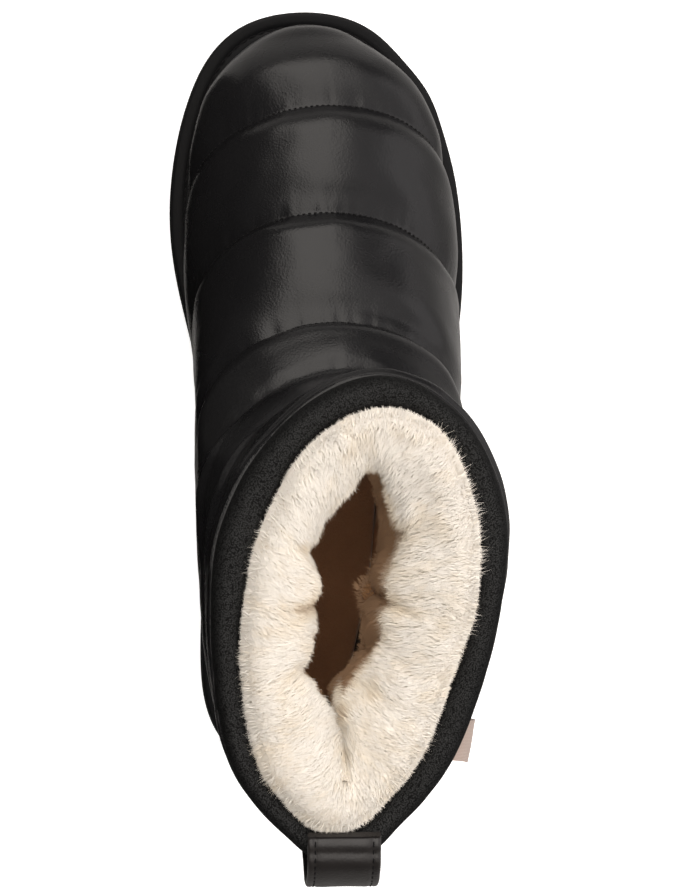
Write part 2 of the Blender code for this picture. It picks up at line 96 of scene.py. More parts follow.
SOLE_PROFILE = [
    # inset, column, rise
    (3.0,    1,      0.0),
    (1.9,    1,      0.6),
    (1.2,    1,      1.8),
    (0.7,    1,      3.6),
    (0.45,   1,      6.0),
    (0.3,    2,     -7.0),
    (0.15,   2,     -4.0),
    (0.0,    2,     -1.8),
    (0.15,   2,     -0.8),
    (0.7,    2,     -0.15),
    (1.6,    2,      0.0),
]
CROSS_GROOVES = [
    # y,      lift
    (-119.0,  0.0),
    (-104.0,  0.0),
    (-89.0,   0.0),
    (-74.0,   0.0),
    (34.0,    0.0),
    (49.0,    0.0),
    (64.0,    0.0),
    (79.0,    0.0),
    (94.0,    0.2),
    (109.0,   0.9),
    (124.0,   2.5),
]
LONG_GROOVES = [
    # x,     y,     length
    (-21.0,  76.0,  98.0),
    (19.0,   76.0,  98.0),
    (-1.0,  -97.0,  52.0),
]


def spline(xs, ys, x):
    """Natural cubic curve through (xs, ys), read at x."""
    xs = np.asarray(xs, float)
    ys = np.asarray(ys, float)
    n = len(xs)
    h = np.diff(xs)
    a = np.zeros((n, n))
    b = np.zeros(n)
    a[0, 0] = 1.0
    a[-1, -1] = 1.0
    for i in range(1, n - 1):
        a[i, i - 1] = h[i - 1]
        a[i, i] = 2.0 * (h[i - 1] + h[i])
        a[i, i + 1] = h[i]
        b[i] = 6.0 * ((ys[i + 1] - ys[i]) / h[i] - (ys[i] - ys[i - 1]) / h[i - 1])
    m = np.linalg.solve(a, b)
    x = np.clip(np.asarray(x, float), xs[0], xs[-1])
    k = np.clip(np.searchsorted(xs, x, side="right") - 1, 0, n - 2)
    t = x - xs[k]
    slope = (ys[k + 1] - ys[k]) / h[k] - h[k] * (2.0 * m[k] + m[k + 1]) / 6.0
    return ys[k] + t * (slope + t * (m[k] / 2.0 + t * (m[k + 1] - m[k]) / (6.0 * h[k])))


def column(table, i):
    return [row[i] for row in table]


def smoothstep(x):
    x = np.clip(x, 0.0, 1.0)
    return x * x * (3.0 - 2.0 * x)


def unit(vectors):
    """Each vector of a row of them, made one long."""
    return vectors / np.linalg.norm(vectors, axis=-1, keepdims=True)


def closed_up(ring):
    """A ring, or a stack of rings, with its first one again at its end."""
    return np.concatenate([ring, ring[:1]])


def sole_outline(inset, count=240):
    """The sole's outline from the heel end, counter-clockwise, moved inwards by inset."""
    half = count // 2
    turn = np.linspace(0.0, math.pi, half + 1)
    y = HEEL_END_Y + SOLE_LENGTH * (1.0 - np.cos(turn)) / 2.0
    stations = np.asarray(column(SOLE_EDGE, 0))
    knots = np.arccos(np.clip(1.0 - 2.0 * (stations - HEEL_END_Y) / SOLE_LENGTH, -1.0, 1.0))
    medial = spline(knots, column(SOLE_EDGE, 1), turn)
    lateral = spline(knots, column(SOLE_EDGE, 2), turn)
    ring = np.concatenate([np.column_stack([lateral, y]),
                           np.column_stack([medial, y])[half - 1:0:-1]])
    along = np.roll(ring, -1, axis=0) - np.roll(ring, 1, axis=0)
    return ring - inset * unit(np.stack([along[:, 1], -along[:, 0]], axis=1))


def sole_z(y, col):
    """Height of the sole at y: column 1 is its underside, column 2 the seat of the welt."""
    return np.maximum(0.0, spline(column(SOLE_HEIGHT, 0), column(SOLE_HEIGHT, col), y))


def sole_ring(inset, col, rise, count=240):
    xy = sole_outline(inset, count)
    return np.column_stack([xy, sole_z(xy[:, 1], col) + rise])


def first_shape(add, name, **shape):
    """One of Blender's own shapes, added with nothing else selected, and named."""
    bpy.ops.object.select_all(action="DESELECT")
    add(**shape)
    piece = bpy.context.active_object
    piece.name = name
    piece.data.name = name
    return piece


def take_up(piece):
    """Selects one piece alone and opens it for editing, selected all over."""
    bpy.ops.object.select_all(action="DESELECT")
    piece.select_set(True)
    bpy.context.view_layer.objects.active = piece
    bpy.ops.object.mode_set(mode="EDIT")
    bpy.ops.mesh.select_all(action="SELECT")


def wrapped_grid(name, rings, closed=False):
    """A grid laid down and wrapped on to closed rings of points, its side edges welded."""
    rings = closed_up(np.asarray(rings)) if closed else np.asarray(rings)
    rows, around = rings.shape[:2]
    piece = first_shape(bpy.ops.mesh.primitive_grid_add, name, x_subdivisions=around,
                        y_subdivisions=rows - 1, size=1.0)
    wrapped = np.concatenate([rings, rings[:, :1]], axis=1) * MM
    piece.data.vertices.foreach_set("co", wrapped.ravel())
    take_up(piece)
    bpy.ops.mesh.remove_doubles(threshold=WELD)
    bpy.ops.object.mode_set(mode="OBJECT")
    return piece


def rungs_over_ends(piece):
    """Covers a piece's open ends with rungs from side to side, so that they keep their curve."""
    bm = bmesh.new()
    bm.from_mesh(piece.data)
    left = {e for e in bm.edges if e.is_boundary}
    while left:
        edge = left.pop()
        loop = [edge.verts[0], edge.verts[1]]
        while True:
            onward = [e for e in loop[-1].link_edges if e in left]
            if not onward:
                break
            left.discard(onward[0])
            loop.append(onward[0].other_vert(loop[-1]))
        loop = loop[:-1] if loop[-1] is loop[0] else loop
        start = min(range(len(loop)), key=lambda i: loop[i].co.y)
        loop = loop[start:] + loop[:start]
        n = len(loop)
        bm.faces.new((loop[0], loop[1], loop[-1]))
        for i in range(1, n // 2 - 1):
            bm.faces.new((loop[i], loop[i + 1], loop[n - i - 1], loop[n - i]))
        bm.faces.new((loop[n // 2 - 1], loop[n // 2], loop[n // 2 + 1]))
    bm.to_mesh(piece.data)
    bm.free()


def face_out(piece, smooth_angle=None):
    """Turns a closed piece's faces outwards and shades it smooth, up to smooth_angle degrees."""
    take_up(piece)
    bpy.ops.mesh.normals_make_consistent(inside=False)
    bpy.ops.object.mode_set(mode="OBJECT")
    bm = bmesh.new()
    bm.from_mesh(piece.data)
    if bm.calc_volume(signed=True) < 0.0:
        bmesh.ops.reverse_faces(bm, faces=bm.faces)
        bm.to_mesh(piece.data)
    bm.free()
    if smooth_angle is None:
        bpy.ops.object.shade_smooth()
    else:
        bpy.ops.object.shade_smooth_by_angle(angle=math.radians(smooth_angle))


def cut_away(piece, centre, size):
    """Cuts a straight groove with a bar, which is then thrown away."""
    bar = first_shape(bpy.ops.mesh.primitive_cube_add, "bar", size=1.0,
                      location=Vector(centre) * MM, scale=Vector(size) * MM)
    bpy.ops.object.transform_apply(location=True, rotation=False, scale=True)
    groove = piece.modifiers.new("groove", "BOOLEAN")
    groove.operation = "DIFFERENCE"
    groove.solver = "EXACT"
    groove.object = bar
    bpy.context.view_layer.objects.active = piece
    bpy.ops.object.modifier_apply(modifier=groove.name)
    bpy.data.objects.remove(bar, do_unlink=True)


def plain_material(name, colour, roughness, specular, sheen=0.0):
    """A new material, with its shader's node and its node tree."""
    mat = bpy.data.materials.new(name)
    mat.use_nodes = True
    tree = mat.node_tree
    shader = tree.nodes["Principled BSDF"]
    shader.inputs["Base Color"].default_value = (*colour, 1.0)
    shader.inputs["Roughness"].default_value = roughness
    shader.inputs["Specular IOR Level"].default_value = specular
    shader.inputs["Sheen Weight"].default_value = sheen
    return mat, shader, tree


def node(tree, kind, links=(), **values):
    """Adds a node. values set its sockets or properties, links join other sockets to its own."""
    made = tree.nodes.new(kind)
    for key, value in values.items():
        if hasattr(made, key):
            setattr(made, key, value)
        else:
            made.inputs[key.replace("_", " ")].default_value = value
    for source, socket in links:
        tree.links.new(source, made.inputs[socket])
    return made


def two_tones(tree, share, dark, light):
    """A colour that goes from dark to light as the socket share does from 0 to 1."""
    mixed = node(tree, "ShaderNodeMix", data_type="RGBA", links=[(share, 0)])
    mixed.inputs[6].default_value = (*dark, 1.0)
    mixed.inputs[7].default_value = (*light, 1.0)
    return mixed.outputs[2]


def remapped(tree, value, low, high, to_low=0.0, to_high=1.0):
    """The socket value, spread from low and high over to_low and to_high."""
    spread = node(tree, "ShaderNodeMapRange", links=[(value, 0)])
    for socket, number in enumerate((low, high, to_low, to_high), start=1):
        spread.inputs[socket].default_value = number
    return spread.outputs[0]


def embossed(tree, shader, height, depth, strength=1.0):
    """Raises a material's surface by the socket height, up to depth in millimetres."""
    bump = node(tree, "ShaderNodeBump", links=[(height, "Height")],
                Strength=strength, Distance=depth * MM)
    tree.links.new(bump.outputs["Normal"], shader.inputs["Normal"])


def speckle_group():
    """Fine grain used on rubber, tape and leather alike: a height, and a mask of its hollows."""
    group = bpy.data.node_groups.new("fine grain", "ShaderNodeTree")
    for name, low, high, start in (("Size", 0.0, 1.0, 0.0006), ("Unevenness", 0.0, 1.0, 0.5)):
        socket = group.interface.new_socket(name, in_out="INPUT", socket_type="NodeSocketFloat")
        socket.default_value = start
        socket.min_value = low
        socket.max_value = high
    for name in ("Height", "Hollows", "Blotches"):
        group.interface.new_socket(name, in_out="OUTPUT", socket_type="NodeSocketFloat")
    entry = group.nodes.new("NodeGroupInput")
    leave = group.nodes.new("NodeGroupOutput")
    place = node(group, "ShaderNodeTexCoord")
    per = node(group, "ShaderNodeMath", operation="DIVIDE")
    per.inputs[0].default_value = 1.0
    group.links.new(entry.outputs["Size"], per.inputs[1])
    cells = node(group, "ShaderNodeTexVoronoi", feature="SMOOTH_F1",
                 links=[(place.outputs["Object"], "Vector"), (per.outputs[0], "Scale")],
                 Smoothness=0.35)
    grit = node(group, "ShaderNodeTexNoise",
                links=[(place.outputs["Object"], "Vector"), (per.outputs[0], "Scale")],
                Detail=3.0, Roughness=0.6)
    mixed = node(group, "ShaderNodeMix", data_type="FLOAT",
                 links=[(entry.outputs["Unevenness"], 0), (cells.outputs["Distance"], 2),
                        (grit.outputs["Fac"], 3)])
    hollows = remapped(group, cells.outputs["Distance"], 0.25, 0.75)
    blotch = node(group, "ShaderNodeTexNoise", links=[(place.outputs["Object"], "Vector")],
                  Scale=38.0, Detail=3.0, Roughness=0.55)
    group.links.new(mixed.outputs[0], leave.inputs["Height"])
    group.links.new(hollows, leave.inputs["Hollows"])
    group.links.new(blotch.outputs["Fac"], leave.inputs["Blotches"])
    return group


GRAIN = speckle_group()


def fine_grain(tree, shader, size, unevenness, depth):
    """Places the fine grain in a material and embosses it. size and depth in millimetres."""
    grain = tree.nodes.new("ShaderNodeGroup")
    grain.node_tree = GRAIN
    grain.inputs["Size"].default_value = size * MM
    grain.inputs["Unevenness"].default_value = unevenness
    embossed(tree, shader, grain.outputs["Height"], depth)
    return grain


def grained(name, colour, roughness, specular, grain, tones, gloss, sheen=0.0):
    """A material with the fine grain: bump, a little colour change and uneven gloss.

    grain is its size, unevenness and depth, tones and gloss are each from the least to the most."""
    mat, shader, tree = plain_material(name, colour, roughness, specular, sheen)
    blotches = fine_grain(tree, shader, *grain).outputs["Blotches"]
    tree.links.new(two_tones(tree, blotches, *tones), shader.inputs["Base Color"])
    tree.links.new(remapped(tree, blotches, 0.3, 0.7, *gloss), shader.inputs["Roughness"])
    return mat


sole_rubber = grained("matt sole rubber", (0.02, 0.02, 0.021), roughness=0.7, specular=0.18,
                      grain=(0.55, 0.6, 0.05), gloss=(0.62, 0.78),
                      tones=((0.006, 0.006, 0.0065), (0.012, 0.012, 0.0125)))
outsole = wrapped_grid("moulded_outsole", [sole_ring(*row) for row in SOLE_PROFILE])
rungs_over_ends(outsole)
face_out(outsole)
for groove_y, lift in CROSS_GROOVES:
    cut_away(outsole, (0.0, groove_y, lift + TREAD_DEPTH - CUTTER_HEIGHT / 2.0),
             (CUTTER_LENGTH, TREAD_GROOVE, CUTTER_HEIGHT))
for groove_x, groove_y, length in LONG_GROOVES:
    cut_away(outsole, (groove_x, groove_y, 0.1 + TREAD_DEPTH - CUTTER_HEIGHT / 2.0),
             (TREAD_GROOVE, length, CUTTER_HEIGHT))
face_out(outsole, 38.0)
outsole.data.materials.append(sole_rubber)
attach(outsole, "root")
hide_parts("outsole")


# ------------------------------------------------------------------------------ welt
# A flat strip of black rubber all round the top of the outsole, stitched down close to the
# upper. Its outer edge is trimmed flush with the sole and slightly rounded.
WELT_THICK = 3.6
WELT_INSET = 0.5
WELT_WIDTH = 24.0
GAP = 0.3
STITCH_LINE = 5.6          # distance of the welt's seam inside the sole's edge

WELT_PROFILE = [
    # inset,                   rise
    (WELT_INSET + 0.9,         GAP),
    (WELT_INSET + 0.3,         GAP + 0.25),
    (WELT_INSET,               GAP + 0.9),
    (WELT_INSET,               GAP + 2.2),
    (WELT_INSET + 0.2,         GAP + 3.0),
    (WELT_INSET + 0.7,         GAP + 3.45),
    (WELT_INSET + 1.4,         GAP + 3.6),
    (WELT_INSET + 3.2,         GAP + 3.6),
    (STITCH_LINE - 0.8,        GAP + 3.55),
    (STITCH_LINE - 0.45,       GAP + 3.3),
    (STITCH_LINE,              GAP + 3.15),
    (STITCH_LINE + 0.45,       GAP + 3.3),
    (STITCH_LINE + 0.8,        GAP + 3.55),
    (STITCH_LINE + 3.0,        GAP + 3.6),
    (WELT_INSET + 14.0,        GAP + 3.6),
    (WELT_INSET + WELT_WIDTH,  GAP + 3.6),
    (WELT_INSET + WELT_WIDTH,  GAP),
    (WELT_INSET + 14.0,        GAP),
]


def thread(name, colour):
    """Twisted sewing thread: a fine diagonal ply along each stitch."""
    mat, shader, tree = plain_material(name, colour, 0.6, 0.2)
    place = node(tree, "ShaderNodeTexCoord")
    ply = node(tree, "ShaderNodeTexWave", links=[(place.outputs["UV"], "Vector")],
               bands_direction="DIAGONAL", Scale=3.0, Distortion=0.4).outputs["Fac"]
    embossed(tree, shader, ply, 0.1, strength=0.7)
    tree.links.new(two_tones(tree, ply, [c * 0.55 for c in colour], colour),
                   shader.inputs["Base Color"])
    return mat


def lengths_along(points):
    """How far each point of a run lies from its first."""
    return np.concatenate([[0.0], np.cumsum(np.linalg.norm(np.diff(points, axis=0), axis=1))])


def read_along(at, walked, values):
    """Rows of values, known at the lengths walked, read at other lengths."""
    return np.column_stack([np.interp(at, walked, values[:, i]) for i in range(3)])


def in_scene(name, data):
    """A new object put in the scene."""
    made = bpy.data.objects.new(name, data)
    bpy.context.scene.collection.objects.link(made)
    return made


def corner_points(mesh):
    """The number of the point at every corner of a mesh's faces."""
    corner = np.zeros(len(mesh.loops), np.int32)
    mesh.loops.foreach_get("vertex_index", corner)
    return corner


def model_stitch():
    """One stitch a unit long on X: a bead of thread, its ends drawn down into the work."""
    bead = first_shape(bpy.ops.mesh.primitive_uv_sphere_add, "bead", segments=6, ring_count=6,
                       radius=0.5, rotation=(0.0, math.radians(90.0), 0.0))
    bpy.ops.object.transform_apply(location=False, rotation=True, scale=False)
    for vert in bead.data.vertices:
        vert.co.z -= 0.35 * (2.0 * vert.co.x) ** 4
    return bead


def sewn(name, points, normals, pitch, length, thick, mat, sink, wander, seed=1):
    """A row of stitches along a path, lying on the surface whose normals are given."""
    points = np.asarray(points, float)
    normals = np.asarray(normals, float)
    walked = lengths_along(points)
    count = int(walked[-1] / pitch)
    at = (np.arange(count) + 0.5) * walked[-1] / count
    random = np.random.RandomState(seed)
    middle = read_along(at, walked, points)
    up = read_along(at, walked, normals)
    along = unit(read_along(at + 0.3, walked, points) - read_along(at - 0.3, walked, points))
    up = unit(up - along * np.sum(along * up, axis=1)[:, None])
    side = np.cross(up, along)
    along = along + side * random.uniform(-wander, wander, count)[:, None]
    bead = model_stitch()
    shape = np.array([v.co for v in bead.data.vertices]) * (length, thick, thick)
    faces = [list(p.vertices) for p in bead.data.polygons]
    bpy.data.objects.remove(bead, do_unlink=True)
    placed = (middle[:, None] + shape[None, :, 0:1] * along[:, None]
              + shape[None, :, 1:2] * side[:, None]
              + (shape[None, :, 2:3] - sink) * up[:, None])
    size = len(shape)
    mesh = bpy.data.meshes.new(name)
    mesh.from_pydata(placed.reshape(-1, 3) * MM, [],
                     [[i + k * size for i in face] for k in range(count) for face in faces])
    seam = in_scene(name, mesh)
    mesh.shade_smooth()
    mesh.materials.append(mat)
    mapped = mesh.uv_layers.new(name="UVMap")
    local = shape[corner_points(mesh) % size] / thick
    mapped.data.foreach_set("uv", local[:, :2].ravel())
    return seam


welt_rubber = grained("matt welt rubber", (0.018, 0.018, 0.018), roughness=0.6, specular=0.14,
                      grain=(0.45, 0.75, 0.10), gloss=(0.5, 0.68),
                      tones=((0.004, 0.004, 0.0045), (0.009, 0.009, 0.0095)))
welt = wrapped_grid("stitched_welt", [sole_ring(inset, 2, rise) for inset, rise in WELT_PROFILE],
                    closed=True)
face_out(welt)
welt.data.materials.append(welt_rubber)
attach(welt, "root")
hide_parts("welt")

seam_ring = closed_up(sole_ring(STITCH_LINE, 2, GAP + WELT_THICK))
black_thread = thread("black waxed thread", (0.009, 0.0085, 0.009))
welt_seam = sewn("welt_stitches", seam_ring, np.tile((0.0, 0.0, 1.0), (len(seam_ring), 1)),
                 pitch=3.6, length=2.9, thick=0.75, mat=black_thread, sink=0.28, wander=0.06)
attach(welt_seam, "root")


# ------------------------------------------------------------------------------ footbed
# A thin insole of wool felt on a board, lying loose on the outsole inside the welt. Its nap is trodden
# flat, and its brown is partly its own colour and partly painted shade, so it shows as a soft uneven
# brown floor at the bottom of the shaft.
INSOLE_THICK = 7.0
INSOLE_INSET = 30.5
FOOTBED_AROUND = 160
FOOTBED_EASE = 8.9

FOOTBED_PROFILE = [
    # inset,              rise
    (INSOLE_INSET + 0.6,  GAP),
    (INSOLE_INSET,        GAP + 1.0),
    (INSOLE_INSET,        GAP + 3.0),
    (INSOLE_INSET,        GAP + 5.0),
    (INSOLE_INSET + 0.4,  GAP + 6.2),
    (INSOLE_INSET + 1.5,  GAP + INSOLE_THICK),
]


def footbed_ring(inset, rise):
    """Ring of the footbed, eased outwards until it fits close inside the shearling."""
    small = sole_ring(inset, 2, rise, FOOTBED_AROUND)
    large = sole_ring(inset - FOOTBED_EASE, 2, rise, FOOTBED_AROUND)
    y = small[:, 1:2]
    share = smoothstep((y + 112.0) / 66.0) * (1.0 - 0.4 * smoothstep((y - 5.0) / 35.0))
    return small + (large - small) * share


# The felt's brown is partly its own colour and partly painted shade for the dim floor of the shaft.
felt_brown_and_painted_shade = grained("brown wool felt", (0.2, 0.11, 0.06), roughness=0.95, specular=0.5,
                     grain=(0.9, 0.9, 0.5), gloss=(0.9, 1.0), sheen=0.5,
                     tones=((0.13, 0.07, 0.036), (0.27, 0.155, 0.085)))
footbed = wrapped_grid("wool_footbed", [footbed_ring(*row) for row in FOOTBED_PROFILE])
rungs_over_ends(footbed)
face_out(footbed, 50.0)
footbed.data.materials.append(felt_brown_and_painted_shade)
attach(footbed, "root")
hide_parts("insole")


# ------------------------------------------------------------------------------ quilted upper
# Smooth black nappa over thick wadding, sewn through in five rows so that it stands up as six
# puffed tubes from the toe to the collar. The wadding pulls the leather into small puckers at
# each row, and every tube rides a little over the one in front of it.
COLLAR_Z = 190.0
WELT_TOP = WELT_THICK + 2.0 * GAP          # where the upper starts, above the seat of the welt
LEDGE = 9.3                # width of the ledge under the binding
LEATHER_BACK = 8.0         # leather and wadding; the shearling begins behind them

UPPER = [
    # s,    Fy,    Fz,    Wy,    Wz,    By,     Bz,    xm,    xl,    xf,   xb,   nf,   nb
    (0.00, 142.2,  38.5, 142.2,  34.0, 142.2,  29.5, -10.0,   0.5,  -4.5, -4.5, 2.00, 2.00),
    (0.12, 140.6,  45.5, 139.6,  33.0, 138.6,  12.0, -17.2,   7.8,  -4.0, -4.0, 2.10, 2.60),
    (0.30, 136.0,  51.0, 131.0,  34.0, 122.0,   4.0, -29.8,  20.0,  -2.5, -4.0, 2.10, 2.60),
    (0.60, 127.0,  60.5, 111.5,  36.5,  88.0,   0.0, -43.2,  36.8,   1.5, -4.0, 2.05, 2.65),
    (1.00, 112.0,  69.2,  82.0,  38.5,  40.0,  -3.0, -49.0,  47.0,   4.0, -3.0, 2.00, 2.70),
    (1.50,  93.0,  76.2,  61.0,  42.0,  10.0,  -4.0, -48.9,  49.6,   3.0, -3.0, 2.00, 2.50),
    (2.00,  72.5,  83.4,  41.0,  47.0, -27.0,  -4.0, -47.1,  50.2,   2.0, -3.0, 2.00, 2.15),
    (2.20,  64.5,  87.0,  31.0,  54.5, -55.0,  -4.0, -46.1,  49.9,   2.0, -3.0, 2.00, 1.98),
    (2.40,  56.7,  90.8,  21.5,  63.0, -84.0,  -2.0, -45.7,  49.3,   2.5, -2.5, 2.00, 1.92),
    (2.60,  48.8,  94.8,  13.0,  72.0, -111.0,  5.0, -45.6,  48.6,   3.0, -2.0, 2.00, 2.10),
    (2.75,  43.1,  97.7,   7.5,  79.5, -125.5, 19.0, -45.6,  48.0,   3.5, -1.5, 2.00, 2.40),
    (2.88,  38.0, 100.3,   3.5,  87.0, -131.3, 42.0, -45.7,  47.4,   3.8, -1.2, 2.00, 2.70),
    (3.00,  34.0, 103.4,   0.5,  94.0, -132.8, 66.0, -45.7,  46.8,   4.0, -1.0, 2.00, 2.95),
    (3.25,  29.5, 108.6,  -5.2, 100.5, -133.1, 77.0, -45.5,  46.7,   4.0, -1.0, 1.90, 2.95),
    (3.50,  25.2, 112.6, -11.5, 106.5, -133.2, 88.0, -45.4,  46.6,   4.0, -1.0, 1.78, 2.95),
    (3.75,  20.4, 117.2, -17.2, 114.5, -133.1, 98.5, -45.2,  46.7,   4.2, -1.1, 1.70, 2.90),
    (4.00,  15.7, 121.8, -22.5, 123.5, -133.0, 109.0, -44.9, 46.8,   4.5, -1.2, 1.74, 2.80),
    (4.25,  13.6, 131.0, -26.2, 131.5, -133.6, 119.0, -44.6, 47.3,   5.2, -1.3, 1.92, 2.70),
    (4.50,  13.2, 141.0, -30.0, 137.5, -134.2, 129.0, -44.3, 47.8,   6.0, -1.5, 1.97, 2.60),
    (5.00,  11.9, 157.5, -37.0, 155.0, -136.0, 150.0, -43.4, 48.8,   8.5, -2.0, 1.93, 2.35),
    (5.50,  11.7, 174.0, -43.5, 172.5, -137.8, 170.5, -43.0, 51.0,  11.0, -2.5, 1.88, 2.15),
    (6.00,  11.8, 190.0, -48.0, 190.0, -138.6, 190.0, -42.3, 52.7,  11.5, -3.0, 1.83, 2.05),
]
SEAM_DEPTH = [
    # seam, top, side, rear, pucker, reach behind
    (1.0,  4.8,  1.6,  1.6,  0.22, 14.0),
    (2.0,  5.0,  1.8,  1.8,  0.36, 10.0),
    (3.0,  4.6,  2.6,  3.6,  0.36,  9.0),
    (4.0,  2.4,  1.2,  3.8,  0.30, 15.0),
    (5.0,  4.8,  3.8,  3.8,  0.30, 15.0),
    (6.0,  0.5,  0.5,  0.5,  0.0,  15.0),
]
TUBE_ROWS = (50, 44, 70, 48, 50, 56)       # rows of points over each tube
AROUND = 320                               # points round each row
DRAWN_BACK = 4.6                           # how far the collar is pulled back at the loop
REAR_WIDER = (1.9, 1.2)                    # the collar's extra width near the heel, inner and outer
REACH_AHEAD = 19.0                         # how far a seam's valley reaches ahead, at most
VALLEY_FALL = (2.2, 2.6)                   # how steeply the valley falls, ahead and behind
PUCKER_STEPS = (2.4, 4.1, 8.5)             # spacing of the fine, middling and broad gathers

# Creases, listed one by one: from one place to another, each given as a section of the upper and
# degrees round it from the front (inner side negative), with its width and its height.
CREASES = [
    # s,    turn,    s,    turn, width, height
    (1.86,  -26.0,   1.85,   38.0,  3.4, -0.9),
    (2.10,  -52.0,   2.05,  -14.0,  2.2,  0.9),
    (1.90,  -74.0,   1.84,  -44.0,  2.6, -0.7),
    (2.87,  -22.0,   2.86,   40.0,  3.0, -0.8),
    (2.82,  -66.0,   2.88,  -34.0,  2.4,  0.6),
    (3.10,  -48.0,   3.06,  -16.0,  2.2,  0.7),
    (0.93,  -20.0,   0.92,   30.0,  3.0, -0.5),
    (1.45,  118.0,   1.78,   96.0,  3.2, -0.6),
    (2.45,  112.0,   2.66,   88.0,  3.5, -0.8),
    (2.40, -118.0,   2.62,  -92.0,  3.6, -0.9),
    (3.45, -104.0,   3.58,  -66.0,  3.0, -0.7),
    (3.55,   70.0,   3.42,  108.0,  3.0, -0.7),
    (4.52, -104.0,   4.40,  -84.0,  2.8, -0.6),
    (4.38,  -32.0,   4.68,  -88.0,  2.1,  2.2),
    (4.96,  -22.0,   5.72,  -84.0,  1.9,  2.3),
    (5.46,  -44.0,   5.70,  -74.0,  1.2, -0.8),
    (5.85,  120.0,   5.85,  -80.0,  1.3,  2.1),
    (4.46,   64.0,   4.58,  102.0,  3.0, -0.6),
    (5.42, -110.0,   5.56,  -70.0,  2.6, -0.5),
    (5.60,   76.0,   5.44,  112.0,  2.6, -0.5),
]


def monotone(xs, ys, x):
    """Smooth curve through (xs, ys) that never swings past them, read at x."""
    xs = np.asarray(xs, float)
    ys = np.asarray(ys, float)
    h = np.diff(xs)
    rate = np.diff(ys) / h
    slope = np.zeros(len(xs))
    slope[0] = rate[0]
    slope[-1] = rate[-1]
    for i in range(1, len(xs) - 1):
        if rate[i - 1] * rate[i] > 0.0:
            before = 2.0 * h[i] + h[i - 1]
            after = h[i] + 2.0 * h[i - 1]
            slope[i] = (before + after) / (before / rate[i - 1] + after / rate[i])
    x = np.clip(np.asarray(x, float), xs[0], xs[-1])
    k = np.clip(np.searchsorted(xs, x, side="right") - 1, 0, len(xs) - 2)
    t = (x - xs[k]) / h[k]
    bend = h[k] * (slope[k] * (1.0 - t) ** 2 * t - slope[k + 1] * (1.0 - t) * t ** 2)
    return ys[k] + (ys[k + 1] - ys[k]) * smoothstep(t) + bend


def evenly(points, count):
    """A closed ring, its halves from front to rear walked again in steps of equal length."""
    half = len(points) // 2
    walks = []
    for run in (points[:half + 1], np.concatenate([points[half:], points[:1]])):
        walked = lengths_along(run)
        at = np.linspace(0.0, walked[-1], count // 2 + 1)[:-1]
        walks.append(read_along(at, walked, run))
    return np.concatenate(walks)


def upper_ring(s, top=0.0, side=0.0, rear=0.0):
    """Ring s of the upper, smaller by top, side and rear, and drawn back under the pull loop."""
    fy, fz, wy, wz, by, bz, xm, xl, xf, xb, nf, nb = (
        float(monotone(column(UPPER, 0), column(UPPER, i), s)) for i in range(1, 13))
    front = np.array([fy, fz])
    wide = np.array([wy, wz])
    back = np.array([by, bz])
    axis = (front - back) / np.linalg.norm(front - back)
    front = front - top * axis
    back = back + rear * axis
    xm += side
    xl -= side
    turn = np.linspace(0.0, 2.0 * math.pi, 4 * AROUND + 1)[:-1]
    c = np.cos(turn)
    forward = c >= 0.0
    power = 2.0 / np.where(forward, nf, nb)
    along = np.abs(c) ** power
    across = (xl - xm) / 2.0 * np.sign(np.sin(turn)) * np.abs(np.sin(turn)) ** power
    end = np.where(forward[:, None], front, back)
    x_end = np.where(forward, xf, xb)
    mid = (xm + xl) / 2.0
    yz = wide + (end - wide) * along[:, None]
    ring = evenly(np.column_stack([mid + (x_end - mid) * along + across, yz]), AROUND)
    at_collar = smoothstep((s - 5.2) / 0.8)
    drawn = at_collar * smoothstep((-95.0 - ring[:, 1]) / 30.0)
    ring[:, 1] -= DRAWN_BACK * drawn / (1.0 + np.abs((ring[:, 0] + 0.5) / 15.5) ** 6)
    full = at_collar * np.exp(-((ring[:, 1] + 113.0) / 19.0) ** 2)
    ring[:, 0] -= REAR_WIDER[0] * full * smoothstep((-8.0 - ring[:, 0]) / 14.0)
    ring[:, 0] += REAR_WIDER[1] * full * smoothstep((ring[:, 0] - 8.0) / 14.0)
    return ring


def ring_normals(rings, outward=None):
    """Normals of a stack of rings, turned away from their middles or towards outward."""
    if outward is None:
        outward = rings - rings.mean(axis=1, keepdims=True)
    along = np.gradient(rings, axis=0)
    around = np.roll(rings, -1, axis=1) - np.roll(rings, 1, axis=1)
    normal = np.cross(around, along)
    normal /= np.maximum(np.linalg.norm(normal, axis=2), 1e-9)[:, :, None]
    if np.sum(outward * normal) < 0.0:
        normal = -normal
    return normal


def ripple(at, step, seed):
    """Smooth random wave along a length, changing every step or so, between about -1 and 1."""
    random = np.random.RandomState(seed)
    knots = np.arange(at.min() - 2.0 * step, at.max() + 3.0 * step, step)
    values = random.uniform(-1.0, 1.0, len(knots))
    k = np.clip(np.searchsorted(knots, at, side="right") - 1, 0, len(knots) - 2)
    return values[k] + (values[k + 1] - values[k]) * smoothstep((at - knots[k]) / step)


def noise_at(points, size, seed=0.0):
    """Soft cloud noise at each point, in lumps of about size, between about -1 and 1."""
    flat = points.reshape(-1, 3) / size + seed
    return np.array([noise.noise(p) for p in flat]).reshape(points.shape[:-1])


